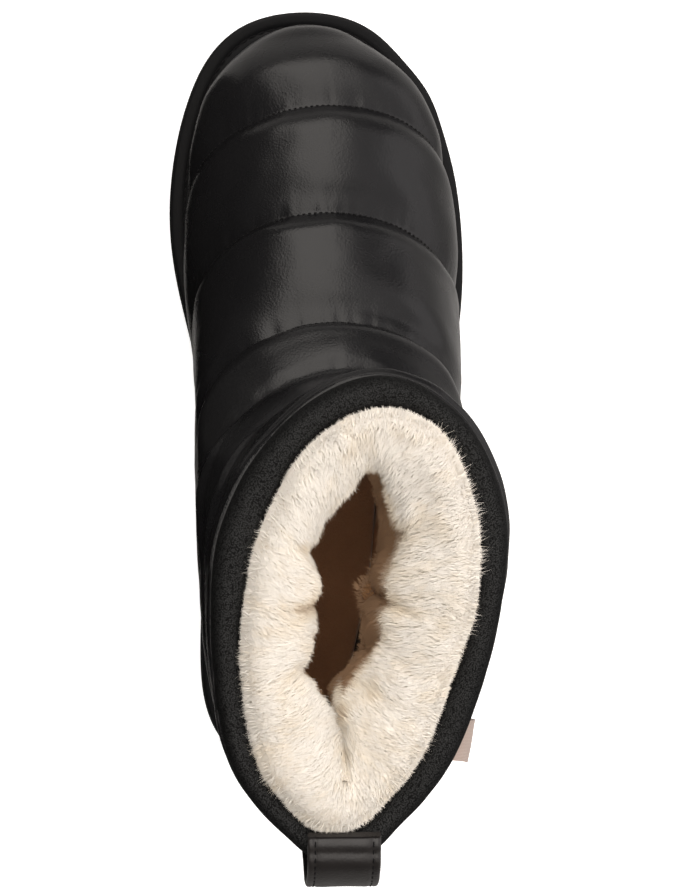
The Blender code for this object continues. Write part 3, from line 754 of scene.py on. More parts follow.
def quilted_skin():
    """Rings of the leather with tubes, puckers and creases, and where each seam runs."""
    stations = []
    seam_rows = []
    for tube, rows in enumerate(TUBE_ROWS):
        t = np.linspace(0.0, 1.0, rows + 1)[:-1]
        stations += list(tube + (t if tube == 0 else 0.45 * t + 0.55 * (1 - np.cos(t * math.pi)) / 2))
        seam_rows.append(len(stations))
    stations.append(6.0)
    rings = np.array([upper_ring(s) for s in stations])
    normal = ring_normals(rings)
    steps = np.linalg.norm(np.diff(rings, axis=0), axis=2)
    walked = np.vstack([np.zeros(AROUND), np.cumsum(steps, axis=0)])
    turn = np.linspace(0.0, 2.0 * math.pi, AROUND, endpoint=False)
    drop = np.zeros(walked.shape)
    rise = np.zeros(walked.shape)
    for k, (seam, top, side, rear, pucker, behind) in enumerate(SEAM_DEPTH):
        at = seam_rows[k]
        length = lengths_along(rings[at])
        c = np.cos(turn)
        depth = side + np.where(c > 0.0, top - side, rear - side) * np.abs(c)
        sides = [(seam_rows[k - 1] if k else 0, REACH_AHEAD, VALLEY_FALL[0])]
        if k < 5:
            sides.append((seam_rows[k + 1], behind, VALLEY_FALL[1]))
        for end, reach_most, fall in sides:
            reach = np.minimum(reach_most, np.abs(walked[end] - walked[at]) / 2.0)
            rows = slice(min(at, end), max(at, end) + 1)
            away = np.abs(walked[rows] - walked[at])
            near = 1.0 - (np.sqrt(away ** 2 + 0.36) - 0.6) / np.maximum(reach, 1e-6)
            drop[rows] = np.maximum(drop[rows], depth * np.clip(near, 0.0, 1.0) ** fall)
            fine = ripple(length, PUCKER_STEPS[0], 10 + k)
            fine += 0.7 * ripple(length, PUCKER_STEPS[1], 20 + k)
            broad = ripple(length, PUCKER_STEPS[2], 30 + k + (0 if end < at else 50))
            gather = np.exp(-away / 2.9) * (1.0 - np.exp(-away / 0.5))
            rise[rows] += pucker * fine * gather * np.minimum(1.0, depth / 3.0)
            rise[rows] += 0.30 * broad * np.exp(-away / 8.0) * (1.0 - np.exp(-away / 2.0))
    above = rings[:, :, 2] - sole_z(rings[:, :, 1], 2) - WELT_TOP
    drop *= 0.25 + 0.75 * smoothstep(above / 22.0)
    rise += 0.55 * noise_at(rings, 30.0, 3.7) + 0.16 * noise_at(rings, 9.0, 8.1)
    for s0, turn0, s1, turn1, width, height in CREASES:
        t = np.linspace(0.0, 1.0, 24 + int(abs(turn1 - turn0) * 1.6))
        line = np.array([upper_ring(s)[int(round(degrees / 360.0 * AROUND)) % AROUND]
                         for s, degrees in zip(s0 + (s1 - s0) * t, turn0 + (turn1 - turn0) * t)])
        line[:, 0] = np.convolve(np.pad(line[:, 0], 3, mode="edge"), np.ones(7) / 7, "valid")
        reach = 3.0 * width
        low = line.min(axis=0) - reach
        high = line.max(axis=0) + reach
        close = np.all((rings > low) & (rings < high), axis=2)
        spots = rings[close]
        apart = np.linalg.norm(spots[:, None] - line[None], axis=2)
        nearest = apart.argmin(axis=1)
        fade = np.sin(math.pi * np.clip(t[nearest], 0.02, 0.98)) ** 1.2
        rise[close] += height * np.exp(-(apart.min(axis=1) / width) ** 2) * fade
    skin = rings + normal * (rise - drop)[:, :, None]
    return skin, ring_normals(skin), seam_rows[:5]


def raise_with_seat(piece, share):
    """Raises every point of a piece by a share of the height of the welt's seat below it."""
    co = np.zeros(len(piece.data.vertices) * 3)
    piece.data.vertices.foreach_get("co", co)
    co = co.reshape(-1, 3)
    co[:, 2] += share * sole_z(co[:, 1] / MM, 2) * MM
    piece.data.vertices.foreach_set("co", co.ravel())


def trimmed_to_welt(piece):
    """Cuts a piece off level with the top of the welt, which curves, and closes the cut."""
    raise_with_seat(piece, -1.0)
    take_up(piece)
    bpy.ops.mesh.bisect(plane_co=(0.0, 0.0, WELT_TOP * MM), plane_no=(0.0, 0.0, 1.0),
                        use_fill=True, clear_inner=True)
    bpy.ops.mesh.select_all(action="SELECT")
    bpy.ops.mesh.remove_doubles(threshold=WELD)
    bpy.ops.object.mode_set(mode="OBJECT")
    raise_with_seat(piece, 1.0)


nappa = grained("black nappa leather", (0.0065, 0.006, 0.006), roughness=0.32, specular=0.29,
                grain=(0.75, 0.45, 0.08), gloss=(0.23, 0.32),
                tones=((0.0050, 0.0049, 0.0054), (0.0085, 0.0083, 0.0089)))
skin, skin_normal, seam_rows = quilted_skin()
tip = [skin[0].mean(axis=0) + (skin[0] - skin[0].mean(axis=0)) * share
       + np.array([0.0, 0.35 * (1.0 - share ** 2), 0.0]) for share in (0.2, 0.5, 0.8)]
collar = [upper_ring(6.0, inset, inset, inset) for inset in (0.9, LEDGE)]
collar[0][:, 2] += 0.2
back = [upper_ring(s, LEATHER_BACK + 2.0, LEATHER_BACK + 1.0, LEATHER_BACK)
        for s in (5.9, 5.5, 5.0, 4.5, 4.0, 3.5, 3.0, 2.8, 2.6, 2.4, 2.2, 2.0, 1.5, 1.0, 0.7, 0.5, 0.3)]
upper = wrapped_grid("quilted_upper", [*tip, *skin, *collar, *back])
rungs_over_ends(upper)
trimmed_to_welt(upper)
face_out(upper, 60.0)
upper.data.materials.append(nappa)
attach(upper, "root")
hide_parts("upper")

for number, row in enumerate(seam_rows, start=1):
    line = skin[row]
    shown = line[:, 2] > sole_z(line[:, 1], 2) + WELT_THICK + 1.2
    first = 0 if shown.all() else int(np.argmin(shown))
    line, out = (np.roll(run, -first, axis=0)[np.roll(shown, -first)]
                 for run in (line, skin_normal[row]))
    seam = sewn(f"quilting_stitches_{number}", line, out, pitch=2.0, length=1.4, thick=0.6,
                mat=black_thread, sink=0.0, wander=0.08, seed=number)
    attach(seam, "root")


# ------------------------------------------------------------------------------ shearling
# Ivory sheepskin lines the whole boot and rolls up over the collar, so thick that its two sides
# all but meet and leave a narrow slot. The skin is one closed body; the pile stands on it.
FLEECE_INSET = 9.9         # where the fleece starts, just inside the binding
FLEECE_TOP = 203.2
SHOULDER_Z = 200.5         # where the roll starts to lie over, above its rim
RIM_Z = 196.5
LOCKS = 26000              # locks of wool in each quarter of the roll
ROLL_STEPS = (3, 9, 9, 9, 8, 6, 5)
BROW_ROW = 29              # the row of the roll's rings that runs along its brow
LOCK_FACES = ((0, 2, 1), (0, 3, 2), (0, 1, 3), (1, 2, 4), (2, 3, 4), (3, 1, 4))
LOCK_ROUND = ((0.87, 0.5), (-0.87, 0.5), (0.0, -1.0))

WALL = [
    # s,   top,  side, rear
    (0.0,  15.0, 18.0,  2.0),
    (1.0,  16.0, 19.0,  2.0),
    (2.0,  16.0, 19.0,  2.0),
    (2.4,  17.5, 19.5,  8.0),
    (2.75, 19.0, 20.0, 16.0),
    (3.0,  20.5, 21.0, 20.0),
    (4.0,  22.5, 23.5, 23.5),
    (5.0,  25.0, 25.0, 25.0),
    (6.0,  25.0, 25.0, 25.0),
]

# The brow of the fleece, where it turns down, and the mouth of the slot below it. Both run from
# the front to the rear, where the two sides of the fleece meet in a crease.
BROW_INNER = [
    # x,     y,      z
    (5.8,   -17.1,  192.0),
    (-4.4,  -28.3,  191.0),
    (-9.2,  -35.0,  190.5),
    (-12.2, -42.0,  190.0),
    (-12.6, -47.5,  190.0),
    (-10.8, -53.5,  190.0),
    (-9.6,  -60.5,  189.5),
    (-12.0, -66.8,  190.0),
    (-13.3, -73.5,  190.5),
    (-15.4, -81.0,  191.0),
    (-12.9, -87.0,  191.5),
    (-9.6,  -91.5,  192.0),
    (-5.3,  -99.5,  194.0),
    (-2.2,  -109.0, 198.0),
    (-0.6,  -116.5, 202.0),
]
BROW_OUTER = [
    # x,     y,      z
    (6.6,   -17.1,  192.0),
    (11.6,  -16.9,  192.0),
    (15.8,  -25.5,  191.0),
    (18.1,  -33.4,  190.5),
    (19.2,  -41.4,  190.0),
    (17.8,  -48.5,  189.5),
    (15.2,  -54.5,  189.5),
    (13.8,  -60.5,  189.5),
    (13.4,  -66.5,  190.0),
    (13.0,  -73.0,  190.5),
    (10.1,  -79.5,  191.0),
    (5.8,   -87.2,  192.0),
    (-1.4,  -99.5,  194.0),
    (0.6,   -109.0, 198.0),
    (0.3,   -116.5, 202.0),
]
MOUTH_INNER = [
    # x,     y,      z
    (5.4,   -18.3,  178.0),
    (-2.7,  -28.8,  178.0),
    (-7.5,  -35.1,  178.0),
    (-10.0, -41.4,  178.0),
    (-11.6, -46.2,  178.0),
    (-9.0,  -52.5,  178.0),
    (-7.5,  -60.5,  178.0),
    (-10.6, -66.8,  178.0),
    (-11.3, -73.2,  178.0),
    (-14.4, -81.1,  178.0),
    (-12.2, -85.8,  179.0),
    (-9.1,  -89.0,  181.0),
    (-2.4,  -99.5,  186.0),
    (-0.2,  -109.0, 193.0),
    (0.1,   -116.5, 200.5),
]
MOUTH_OUTER = [
    # x,     y,      z
    (8.6,   -18.3,  176.7),
    (13.6,  -28.8,  169.1),
    (14.4,  -35.1,  167.0),
    (14.6,  -41.4,  166.0),
    (14.1,  -46.2,  166.0),
    (10.8,  -52.5,  167.0),
    (7.9,   -60.5,  167.0),
    (8.9,   -66.8,  168.0),
    (7.3,   -73.2,  169.0),
    (5.0,   -81.1,  171.0),
    (0.9,   -85.8,  175.7),
    (-2.1,  -89.0,  179.9),
    (-4.2,  -99.5,  186.0),
    (-1.8,  -109.0, 193.0),
    (-0.4,  -116.5, 200.5),
]

# Folds pressed into the fleece, each running between two places, with its width and depth.
FOLDS = [
    # x,     y,      x,      y,     width, depth
    (-6.5,  -60.8,  -17.5,  -63.8,  3.6,   4.6),
    (9.5,   -58.5,   21.5,  -64.2,  3.2,   4.4),
    (7.0,   -76.0,   13.5,  -69.5,  2.4,   2.6),
    (-13.5, -43.5,  -19.0,  -41.0,  3.0,   1.8),
    (-16.5, -84.0,  -24.0,  -88.0,  3.4,   1.8),
    (20.5,  -39.0,   28.0,  -36.0,  3.6,   1.5),
    (9.0,   -89.0,   17.0,  -95.0,  3.4,   1.7),
    (4.0,   -12.0,    8.0,   -5.0,  4.0,   1.6),
    (-1.5,  -95.0,    0.3, -108.0,  2.8,   2.6),
    (0.3,  -108.0,    0.9, -119.0,  1.9,   1.8),
]

# The tape, and with it the fleece's edge, is turned in further in places.
TAPE_WIDER = [
    # share of the way round the collar from its front by the outer side, how much further
    (0.00, 1.8),
    (0.08, 0.3),
    (0.14, 1.8),
    (0.20, 0.8),
    (0.24, 0.2),
    (0.28, 1.0),
    (0.33, 2.1),
    (0.40, 1.8),
    (0.44, 2.1),
    (0.50, 0.8),
    (0.60, 0.6),
    (0.69, 0.7),
    (0.74, 1.9),
    (0.78, 3.3),
    (0.85, 3.7),
    (0.90, 2.5),
    (1.00, 1.8),
]


def folds_at(points):
    """How deep the folds press at each point, seen from above."""
    deep = np.zeros(points.shape[:-1])
    for x0, y0, x1, y1, width, depth in FOLDS:
        run = np.array([x1 - x0, y1 - y0])
        off = points[..., :2] - (x0, y0)
        t = np.clip(off @ run / (run @ run), 0.0, 1.0)
        away = np.linalg.norm(off - t[..., None] * run, axis=-1)
        deep = np.maximum(deep, depth * (1.0 - 0.7 * t) * np.exp(-(away / width) ** 2))
    return deep


def collar_ring(inset, z):
    """Level ring of the collar, moved inwards by inset and by the tape's extra width there."""
    ring = upper_ring(6.0, inset, inset, inset)
    ring[:, 2] = z
    turn = np.linspace(0.0, 1.0, AROUND, endpoint=False)
    extra = monotone(column(TAPE_WIDER, 0), column(TAPE_WIDER, 1), turn)
    extra *= float(np.clip((inset - 2.0) / 6.5, 0.0, 1.0))
    ahead = np.roll(ring, -3, axis=0) - np.roll(ring, 3, axis=0)
    inward = unit(np.column_stack([ahead[:, 1], -ahead[:, 0], np.zeros(AROUND)]))
    if np.sum(inward * (ring.mean(axis=0) - ring)) < 0.0:
        inward = -inward
    return ring + inward * extra[:, None]


def slot_ring(outer, inner):
    """Ring through an outer and an inner run of points, each from the front to the rear."""
    halves = []
    for table in (outer, inner):
        points = np.array(table, float)
        walked = lengths_along(points)
        at = np.linspace(0.0, walked[-1], AROUND // 2 + 1)
        halves.append(np.column_stack([monotone(walked, points[:, i], at) for i in range(3)]))
    return np.concatenate([halves[0][:-1], halves[1][::-1][:-1]])


def eased(keys, steps):
    """Rings on a smooth curve through the key rings, with the given steps between them."""
    keys = np.array(keys)
    place = np.concatenate([[0.0], np.cumsum(steps)])
    at = np.arange(place[-1] + 1)
    return np.array([[spline(place, keys[:, i, k], at) for k in range(3)]
                     for i in range(keys.shape[1])]).transpose(2, 0, 1)


def roll_of_fleece():
    """Rings over the collar, from inside the binding to where the slot opens below."""
    rim = collar_ring(FLEECE_INSET, RIM_Z)
    brow = slot_ring(BROW_OUTER, BROW_INNER)
    mouth = slot_ring(MOUTH_OUTER, MOUTH_INNER)
    shoulder = collar_ring(FLEECE_INSET + 1.2, SHOULDER_Z)
    crown = rim + (brow - rim) * 0.36
    crown[:, 2] = FLEECE_TOP
    slope = rim + (brow - rim) * 0.72
    slope[:, 2] = 200.0 + 0.3 * (brow[:, 2] - 190.0)
    below = upper_ring(5.2, 24.0, 24.0, 24.0)
    tucked = mouth + (below - mouth) * 0.22
    tucked[:, 2] = 167.0
    rings = eased([rim, shoulder, crown, slope, brow, mouth, tucked, below], ROLL_STEPS)
    normal = ring_normals(rings, np.array([0.0, 0.0, 1.0]))
    lift = 1.1 * noise_at(rings, 19.0, 5.3) + 1.0 * noise_at(rings, 11.0, 1.9)
    lift += 0.45 * noise_at(rings, 5.5, 7.7) - folds_at(rings)
    share = np.linspace(0.0, 1.0, len(rings))[:, None]
    lift *= smoothstep(share / 0.12) * smoothstep((1.0 - share) / 0.2)
    return rings + normal * lift[:, :, None]


def multiplied(tree, first, second):
    """The product of two colour sockets."""
    product = node(tree, "ShaderNodeMix", data_type="RGBA", blend_type="MULTIPLY",
                   links=[(first, 6), (second, 7)])
    product.inputs[0].default_value = 1.0
    return product.outputs[2]


def uv_parts(tree):
    """The U and V of a piece's own map, as sockets."""
    place = node(tree, "ShaderNodeUVMap", uv_map="UVMap")
    parts = node(tree, "ShaderNodeSeparateXYZ", links=[(place.outputs["UV"], 0)])
    return parts.outputs["X"], parts.outputs["Y"]


def ivory_shearling():
    """Wool, tan at the skin and ivory at the tips. U holds each lock's tone, with painted shade at its
    dark brown end, V the way up it.
    """
    mat, shader, tree = plain_material("ivory shearling", (0.85, 0.77, 0.63), 0.9, 0.15, 0.08)
    lock_tone_and_shade, way_up = uv_parts(tree)
    lock = node(tree, "ShaderNodeValToRGB", links=[(way_up, 0)])
    tone_and_shade_ramp = node(tree, "ShaderNodeValToRGB", links=[(lock_tone_and_shade, 0)])
    # The tone ramp goes from white through cream to dark brown. Its dark brown end is painted shade,
    # used for wool deep in the slot and in folds.
    for ramp, start, (halfway, middle), (last, end) in (
            (lock, (0.68, 0.58, 0.445), (0.25, (0.80, 0.74, 0.65)), (0.6, (0.85, 0.805, 0.735))),
            (tone_and_shade_ramp, (1.0, 1.0, 1.0), (0.5, (0.93, 0.86, 0.75)), (1.0, (0.30, 0.165, 0.082)))):
        stops = ramp.color_ramp.elements
        stops[0].color = (*start, 1.0)
        stops[1].color = (*end, 1.0)
        stops[1].position = last
        stops.new(halfway).color = (*middle, 1.0)
    tree.links.new(multiplied(tree, lock.outputs["Color"], tone_and_shade_ramp.outputs["Color"]),
                   shader.inputs["Base Color"])
    return mat


def scattered(random, rings, count):
    """Places over a patch of rings: each one's root, normal, way down the patch, and row."""
    corner = rings[:-1, :-1]
    down = rings[1:, :-1] - corner
    over = rings[:-1, 1:] - corner
    twist = rings[1:, 1:] - corner - down - over
    facing = np.cross(over, down)
    if facing[:, :, 2].sum() < 0.0:
        facing = -facing
    area = np.linalg.norm(facing, axis=2)
    thick_set = area * (1.0 + 1.6 * np.exp(-((np.arange(len(area)) - 3.0) / 2.6) ** 2))[:, None]
    thick_set[BROW_ROW - 1:] *= corner[BROW_ROW - 1:, :, 1] > -107.0
    pick = random.choice(area.size, count, p=(thick_set / thick_set.sum()).ravel())
    row, col = np.unravel_index(pick, area.shape)
    a, b = random.rand(2, count, 1)
    root = corner[row, col] + a * down[row, col] + b * over[row, col] + a * b * twist[row, col]
    return root, facing[row, col] / area[row, col][:, None], down[row, col], row, row + a[:, 0]


def locks_of_wool(name, shape, tone_and_painted_shade, facing):
    """One closed lock for each five points: a root, three round its middle, and a tip."""
    count = len(shape)
    every = (np.arange(count)[:, None, None] * 5 + np.array(LOCK_FACES)).ravel()
    mesh = bpy.data.meshes.new(name)
    mesh.vertices.add(count * 5)
    mesh.vertices.foreach_set("co", (shape * MM).ravel())
    mesh.loops.add(len(every))
    mesh.loops.foreach_set("vertex_index", every)
    mesh.polygons.add(count * 6)
    mesh.polygons.foreach_set("loop_start", np.arange(count * 6) * 3)
    mesh.update(calc_edges=True)
    mesh.validate()
    mesh.shade_smooth()
    mapped = mesh.uv_layers.new(name="UVMap")
    way_up = np.tile([0.0, 0.5, 0.5, 0.5, 1.0], count)
    mapped.data.foreach_set("uv", np.column_stack([tone_and_painted_shade[every], way_up[every]]).ravel())
    mesh.normals_split_custom_set_from_vertices(unit(facing.reshape(-1, 3)))
    return in_scene(name, mesh)


def grow_pile(name, rings, count, length, thick, seed, lie=(0.65, 0.9, 1.0)):
    """Closed tapering locks of wool, scattered over a patch of rings and combed down it.

    lie is how far they lie over at the rim, a little way down, and below."""
    random = np.random.RandomState(seed)
    root, normal, down_patch, row, down = scattered(random, rings, count)
    meeting = smoothstep((-103.0 - root[:, 1]) / 8.0) * smoothstep((row - BROW_ROW + 6.0) / 5.0)
    normal = unit(normal + (np.array([0.0, 0.3, 1.5]) - normal) * meeting[:, None])
    comb = unit(down_patch * (1.0, 1.0, 0.4))
    side = np.cross(normal, comb)
    swirl = 0.6 * noise_at(root, 14.0, 21.0) + 0.5 * noise_at(root, 5.0, 2.0)
    swirl += 0.35 * noise_at(root, 2.2, 13.0)
    swirl += random.uniform(-1.0, 1.0, count) * (0.25 + 1.1 * np.exp(-down / 3.5))
    comb = comb + side * swirl[:, None]
    near_end = np.exp(-((root[:, 0] + 0.4) ** 2 + (root[:, 1] + 115.5) ** 2) / 60.0)[:, None]
    ahead = np.column_stack([-0.12 * (root[:, 0] + 0.4), np.ones(count), np.zeros(count)])
    comb = unit(comb + (ahead + side * 0.5 * swirl[:, None] - comb) * near_end)
    outward = random.rand(count, 1) < 0.32 * np.exp(-((down[:, None] - 2.5) / 2.5) ** 2)
    comb = np.where(outward, -comb, comb)
    lie = np.interp(down, (0.0, 3.0, 8.0), lie)[:, None]
    comb = comb * lie + normal * 0.7 * (1.0 - np.abs(lie))
    side = np.cross(normal, comb)
    rise = random.uniform(0.2, 0.5, (count, 1)) + 0.15 * noise_at(root, 4.0, 9.0)[:, None]
    reach = length * random.uniform(0.6, 1.15, (count, 1))
    reach *= np.interp(down, (0.0, 6.0), (0.55, 1.0))[:, None] * np.where(outward, 0.6, 0.92)
    # Painted shade: deep is how far a lock lies below the brow, down into the slot. It shortens those
    # locks and, further on, tones them towards dark brown, partly the tan of parted wool and partly
    # painted shade for the depth of the slot.
    deep = np.clip((down - BROW_ROW + np.where(root[:, 0] > 2.0, 4.0, -0.5)) / 6.0, 0.0, 1.0)
    deep *= smoothstep((199.0 - root[:, 2]) / 7.0) * (1.0 - 0.7 * meeting)
    reach *= 1.0 - 0.3 * deep[:, None]
    tone_and_painted_shade = 0.2 * random.rand(count) ** 1.5 + 0.24 * noise_at(root, 16.0, 31.0)
    tone_and_painted_shade += 0.28 * noise_at(root, 3.5, 41.0)
    width = thick * random.uniform(0.7, 1.2, (count, 1))
    curl = side * random.uniform(-0.35, 0.35, (count, 1))
    bend = unit(comb + normal * rise * 1.5 + curl)
    lay = unit(comb * 1.1 + normal * rise * 0.35 - curl)
    across = np.cross(bend, side)
    middle = root + bend * reach * 0.45
    # Painted shade: locks lying over a fold are toned darker by the fold's depth, for the shade in the
    # fold.
    tone_and_painted_shade += 0.21 * folds_at(middle)
    tone_and_painted_shade = np.repeat(np.clip(tone_and_painted_shade + (0.95 - tone_and_painted_shade) * deep, 0.0, 1.0), 5)
    shape = np.stack([root - normal * 0.5,
                      *(middle + (side * c + across * s) * width * 0.5 for c, s in LOCK_ROUND),
                      middle + lay * reach * 0.55], axis=1)
    facing = np.repeat(normal[:, None] + np.array([0.0, 0.0, 0.8]), 5, axis=1)
    facing[:, 1:4] += 0.1 * (shape[:, 1:4] - middle[:, None]) / (width[:, None] * 0.5)
    return locks_of_wool(name, shape, tone_and_painted_shade, facing)


roll = roll_of_fleece()
outside = [upper_ring(s, 10.6, 9.7, 8.7) for s in (0.45, 0.7, 1.0, 1.5, 2.0, 2.2, 2.4, 2.6, 2.8, 3.0,
                                                  3.5, 4.0, 4.5, 5.0, 5.5, 5.9)]
inside = [upper_ring(s, *(float(monotone(column(WALL, 0), column(WALL, i), s)) for i in (1, 2, 3)))
          for s in (4.9, 4.6, 4.3, 4.0, 3.7, 3.4, 3.15, 3.0, 2.88, 2.78, 2.68, 2.57, 2.45, 2.3, 2.15,
                    2.0, 1.75, 1.5, 1.25, 1.0, 0.8, 0.6)]
lining = wrapped_grid("shearling_lining", [*outside, collar_ring(FLEECE_INSET, COLLAR_Z), *roll,
                                           *inside])
rungs_over_ends(lining)
trimmed_to_welt(lining)
face_out(lining)
wool = ivory_shearling()
lining.data.materials.append(wool)
# Painted shade: the lining is toned from cream towards dark brown the lower it lies below the roll,
# for the shade inside the shaft.
height = np.array([vert.co.z for vert in lining.data.vertices])[corner_points(lining.data)] / MM
tone_and_painted_shade = 0.3 + 0.7 * smoothstep((184.0 - height) / 12.0)
lining.data.uv_layers.active.data.foreach_set(
    "uv", np.column_stack([tone_and_painted_shade, np.full(len(tone_and_painted_shade), 0.5)]).ravel())
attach(lining, "root")
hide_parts("upper")

closed_roll = np.concatenate([roll, roll[:, :1]], axis=1)[1:-3]
quarter = AROUND // 4
for number, name in enumerate(("outer_front", "outer_rear", "inner_rear", "inner_front")):
    patch = closed_roll[:, number * quarter:(number + 1) * quarter + 1]
    pile = grow_pile(f"shearling_pile_{name}", patch, LOCKS, length=6.0, thick=0.3,
                     seed=number + 1)
    pile.data.materials.append(wool)
    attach(pile, "root")
    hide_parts("upper")

# Loose hairs that have worked out over the binding: from and to which part of the collar's turn.
WISPS = [
    # from, to,    hairs, length
    (0.0,   0.465, 700,   2.9),
    (0.535, 1.0,   700,   2.9),
    (0.06,  0.21,   300,  7.0),
    (0.24,  0.27,    40,  6.5),
    (0.36,  0.40,    60,  6.0),
    (0.56,  0.70,   420,  5.5),
    (0.78,  0.83,    60,  6.5),
]
for number, (start, end, hairs, length) in enumerate(WISPS, start=1):
    patch = closed_roll[:5, int(start * AROUND):int(end * AROUND) + 1]
    wisps = grow_pile(f"shearling_wisps_{number}", patch, hairs, length, thick=0.16,
                      seed=20 + number, lie=(-0.8, -0.6, -0.4))
    wisps.data.materials.append(wool)
    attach(wisps, "root")
    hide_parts("upper")


# ------------------------------------------------------------------------------ collar binding
# A charcoal woven tape folded over the collar's raw edge and sewn through along its inner edge.
# Its ends meet in a lapped join on the inner side, towards the heel.
BINDING = [
    # inset, rise
    (1.7,    GAP),
    (1.25,   2.0),
    (1.2,    4.4),
    (1.7,    7.4),
    (3.2,    9.5),
    (5.0,   10.2),
    (7.3,    9.6),
    (8.5,    8.1),
    (9.0,    6.6),
    (9.45,   3.4),
    (9.4,    GAP),
    (5.0,    GAP),
]
JOIN_COLUMN = 210          # where round the collar the tape's ends meet
LAP_COLUMNS = 9.0          # how far the upper end runs on past the join, and how much it stands up
LAP_RISE = 0.55
TAPE_SEAM_INSET = 8.35
TAPE_SEAM_RISE = 8.45


def charcoal_tape():
    """Fine woven tape: small threads, flecked, with painted shade darkening it down its outer side, so
    that it is lighter on top.
    """
    mat, shader, tree = plain_material("charcoal binding tape", (0.022, 0.022, 0.022), 0.85, 0.12)
    weave = fine_grain(tree, shader, 0.45, 0.45, 0.32).outputs["Height"]
    fleck = two_tones(tree, remapped(tree, weave, 0.34, 0.62), (0.029, 0.0295, 0.0295),
                      (0.003, 0.003, 0.003))
    # Painted shade: by the V of the tape's map, its outer part is darkened to about a third, for the
    # shade down the collar's outer side.
    outer_side_painted_shade = remapped(tree, uv_parts(tree)[1], 0.28, 0.40, to_low=0.35)
    tree.links.new(multiplied(tree, fleck, outer_side_painted_shade), shader.inputs["Base Color"])
    return mat


keys = [collar_ring(inset, COLLAR_Z + rise) for inset, rise in BINDING]
tape = eased([*keys, keys[0]], [2] * len(keys))[:-1]
out = ring_normals(closed_up(tape))[:-1]
lap = np.clip((np.arange(AROUND) - JOIN_COLUMN) / LAP_COLUMNS, 0.0, 1.0)
lap = np.where(lap > 0.0, 1.0 - lap, 0.0) * LAP_RISE
swell = 0.22 * noise_at(tape, 9.0, 4.0) + 0.3 * noise_at(tape, 24.0, 6.0) + lap
swell *= smoothstep((tape[:, :, 2] - COLLAR_Z - 1.0) / 4.0)
binding = wrapped_grid("collar_binding_tape", tape + out * swell[:, :, None], closed=True)
face_out(binding)
binding.data.materials.append(charcoal_tape())
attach(binding, "root")
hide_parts("collar_binding")

inner_edge = closed_up(collar_ring(TAPE_SEAM_INSET, COLLAR_Z + TAPE_SEAM_RISE))
middle = inner_edge.mean(axis=0)
leaning = unit((middle - inner_edge) * (1.0, 1.0, 0.0))
binding_seam = sewn("binding_stitches", inner_edge, leaning * 0.75 + (0.0, 0.0, 0.65), pitch=3.0,
                    length=2.3, thick=0.7, mat=black_thread, sink=0.1, wander=0.2, seed=9)
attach(binding_seam, "root")


# ------------------------------------------------------------------------------ pull loop
# Two layers of the black leather glued back to back and sewn along both edges. The strap is
# caught under the binding's rear at the top, stands off the heel, and is sewn down below.
STRAP_WIDTH = 23.0
STRAP_THICK = 2.2
STRAP_MIDDLE_X = -0.3
STRAP_SEAM_IN = 2.4        # distance of its stitches from each edge
STRAP_TAPER = 0.012        # how much narrower it is at its lower end, as a share
STRAP_ROWS = 90

STRAP_PATH = [
    # y,      z
    (-132.9, 202.0),
    (-134.3, 201.4),
    (-135.9, 202.0),
    (-137.4, 201.6),
    (-138.9, 201.2),
    (-140.5, 201.3),
    (-142.2, 200.7),
    (-144.8, 198.4),
    (-148.3, 193.0),
    (-150.3, 186.5),
    (-150.6, 179.5),
    (-149.2, 172.0),
    (-146.6, 165.0),
    (-142.8, 158.6),
    (-138.6, 153.6),
    (-135.6, 149.6),
]

STRAP_CORNER = [
    # from the middle, out of the strap, both as shares of its half width and half thickness
    (0.0,    1.0),
    (0.25,   1.02),
    (0.5,    1.06),
    (0.68,   1.06),
    (0.745,  0.92),
    (0.79,   0.80),
    (0.835,  0.92),
    (0.90,   1.04),
    (0.955,  0.98),
    (0.99,   0.70),
    (1.0,    0.40),
    (0.995,  0.14),
    (0.965,  0.0),
]

strap_leather = grained("black strap leather", (0.014, 0.0125, 0.012), roughness=0.42,
                        specular=0.45, grain=(0.85, 0.5, 0.10), gloss=(0.36, 0.52),
                        tones=((0.008, 0.0072, 0.0070), (0.020, 0.017, 0.016)))
path = np.array(STRAP_PATH)
walked = lengths_along(path)
at = np.linspace(0.0, walked[-1], STRAP_ROWS)
path = np.column_stack([spline(walked, path[:, i], at) for i in range(2)])
along = unit(np.gradient(path, axis=0))
outer = np.column_stack([-along[:, 1], along[:, 0]])
if outer[len(outer) // 2, 0] > 0.0:
    outer = -outer
corner_profile = np.array(STRAP_CORNER)
right_top = corner_profile[::-1][:-1]
left_top = corner_profile * (-1.0, 1.0)
left_low = (corner_profile * (-1.0, -1.0))[::-1][1:-1]
right_low = (corner_profile * (1.0, -1.0))[:-1]
profile = np.concatenate([right_top, left_top, left_low, right_low])
wide = STRAP_WIDTH / 2.0 * (1.0 - STRAP_TAPER * np.linspace(0.0, 1.0, len(at)))
strap_rings = np.zeros((len(at), len(profile), 3))
strap_rings[:, :, 0] = STRAP_MIDDLE_X + wide[:, None] * profile[None, :, 0]
strap_rings[:, :, 1:] = path[:, None] + outer[:, None] * profile[None, :, 1:] * STRAP_THICK / 2.0
strap_rings[:, :, 0] += 0.12 * noise_at(strap_rings, 7.0, 2.0)
strap_rings[:, :, 1] -= 0.16 * noise_at(strap_rings, 8.0, 5.0)
strap = wrapped_grid("pull_loop_strap", strap_rings)
rungs_over_ends(strap)
face_out(strap, 55.0)
strap.data.materials.append(strap_leather)
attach(strap, "root")
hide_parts("pull_loop")

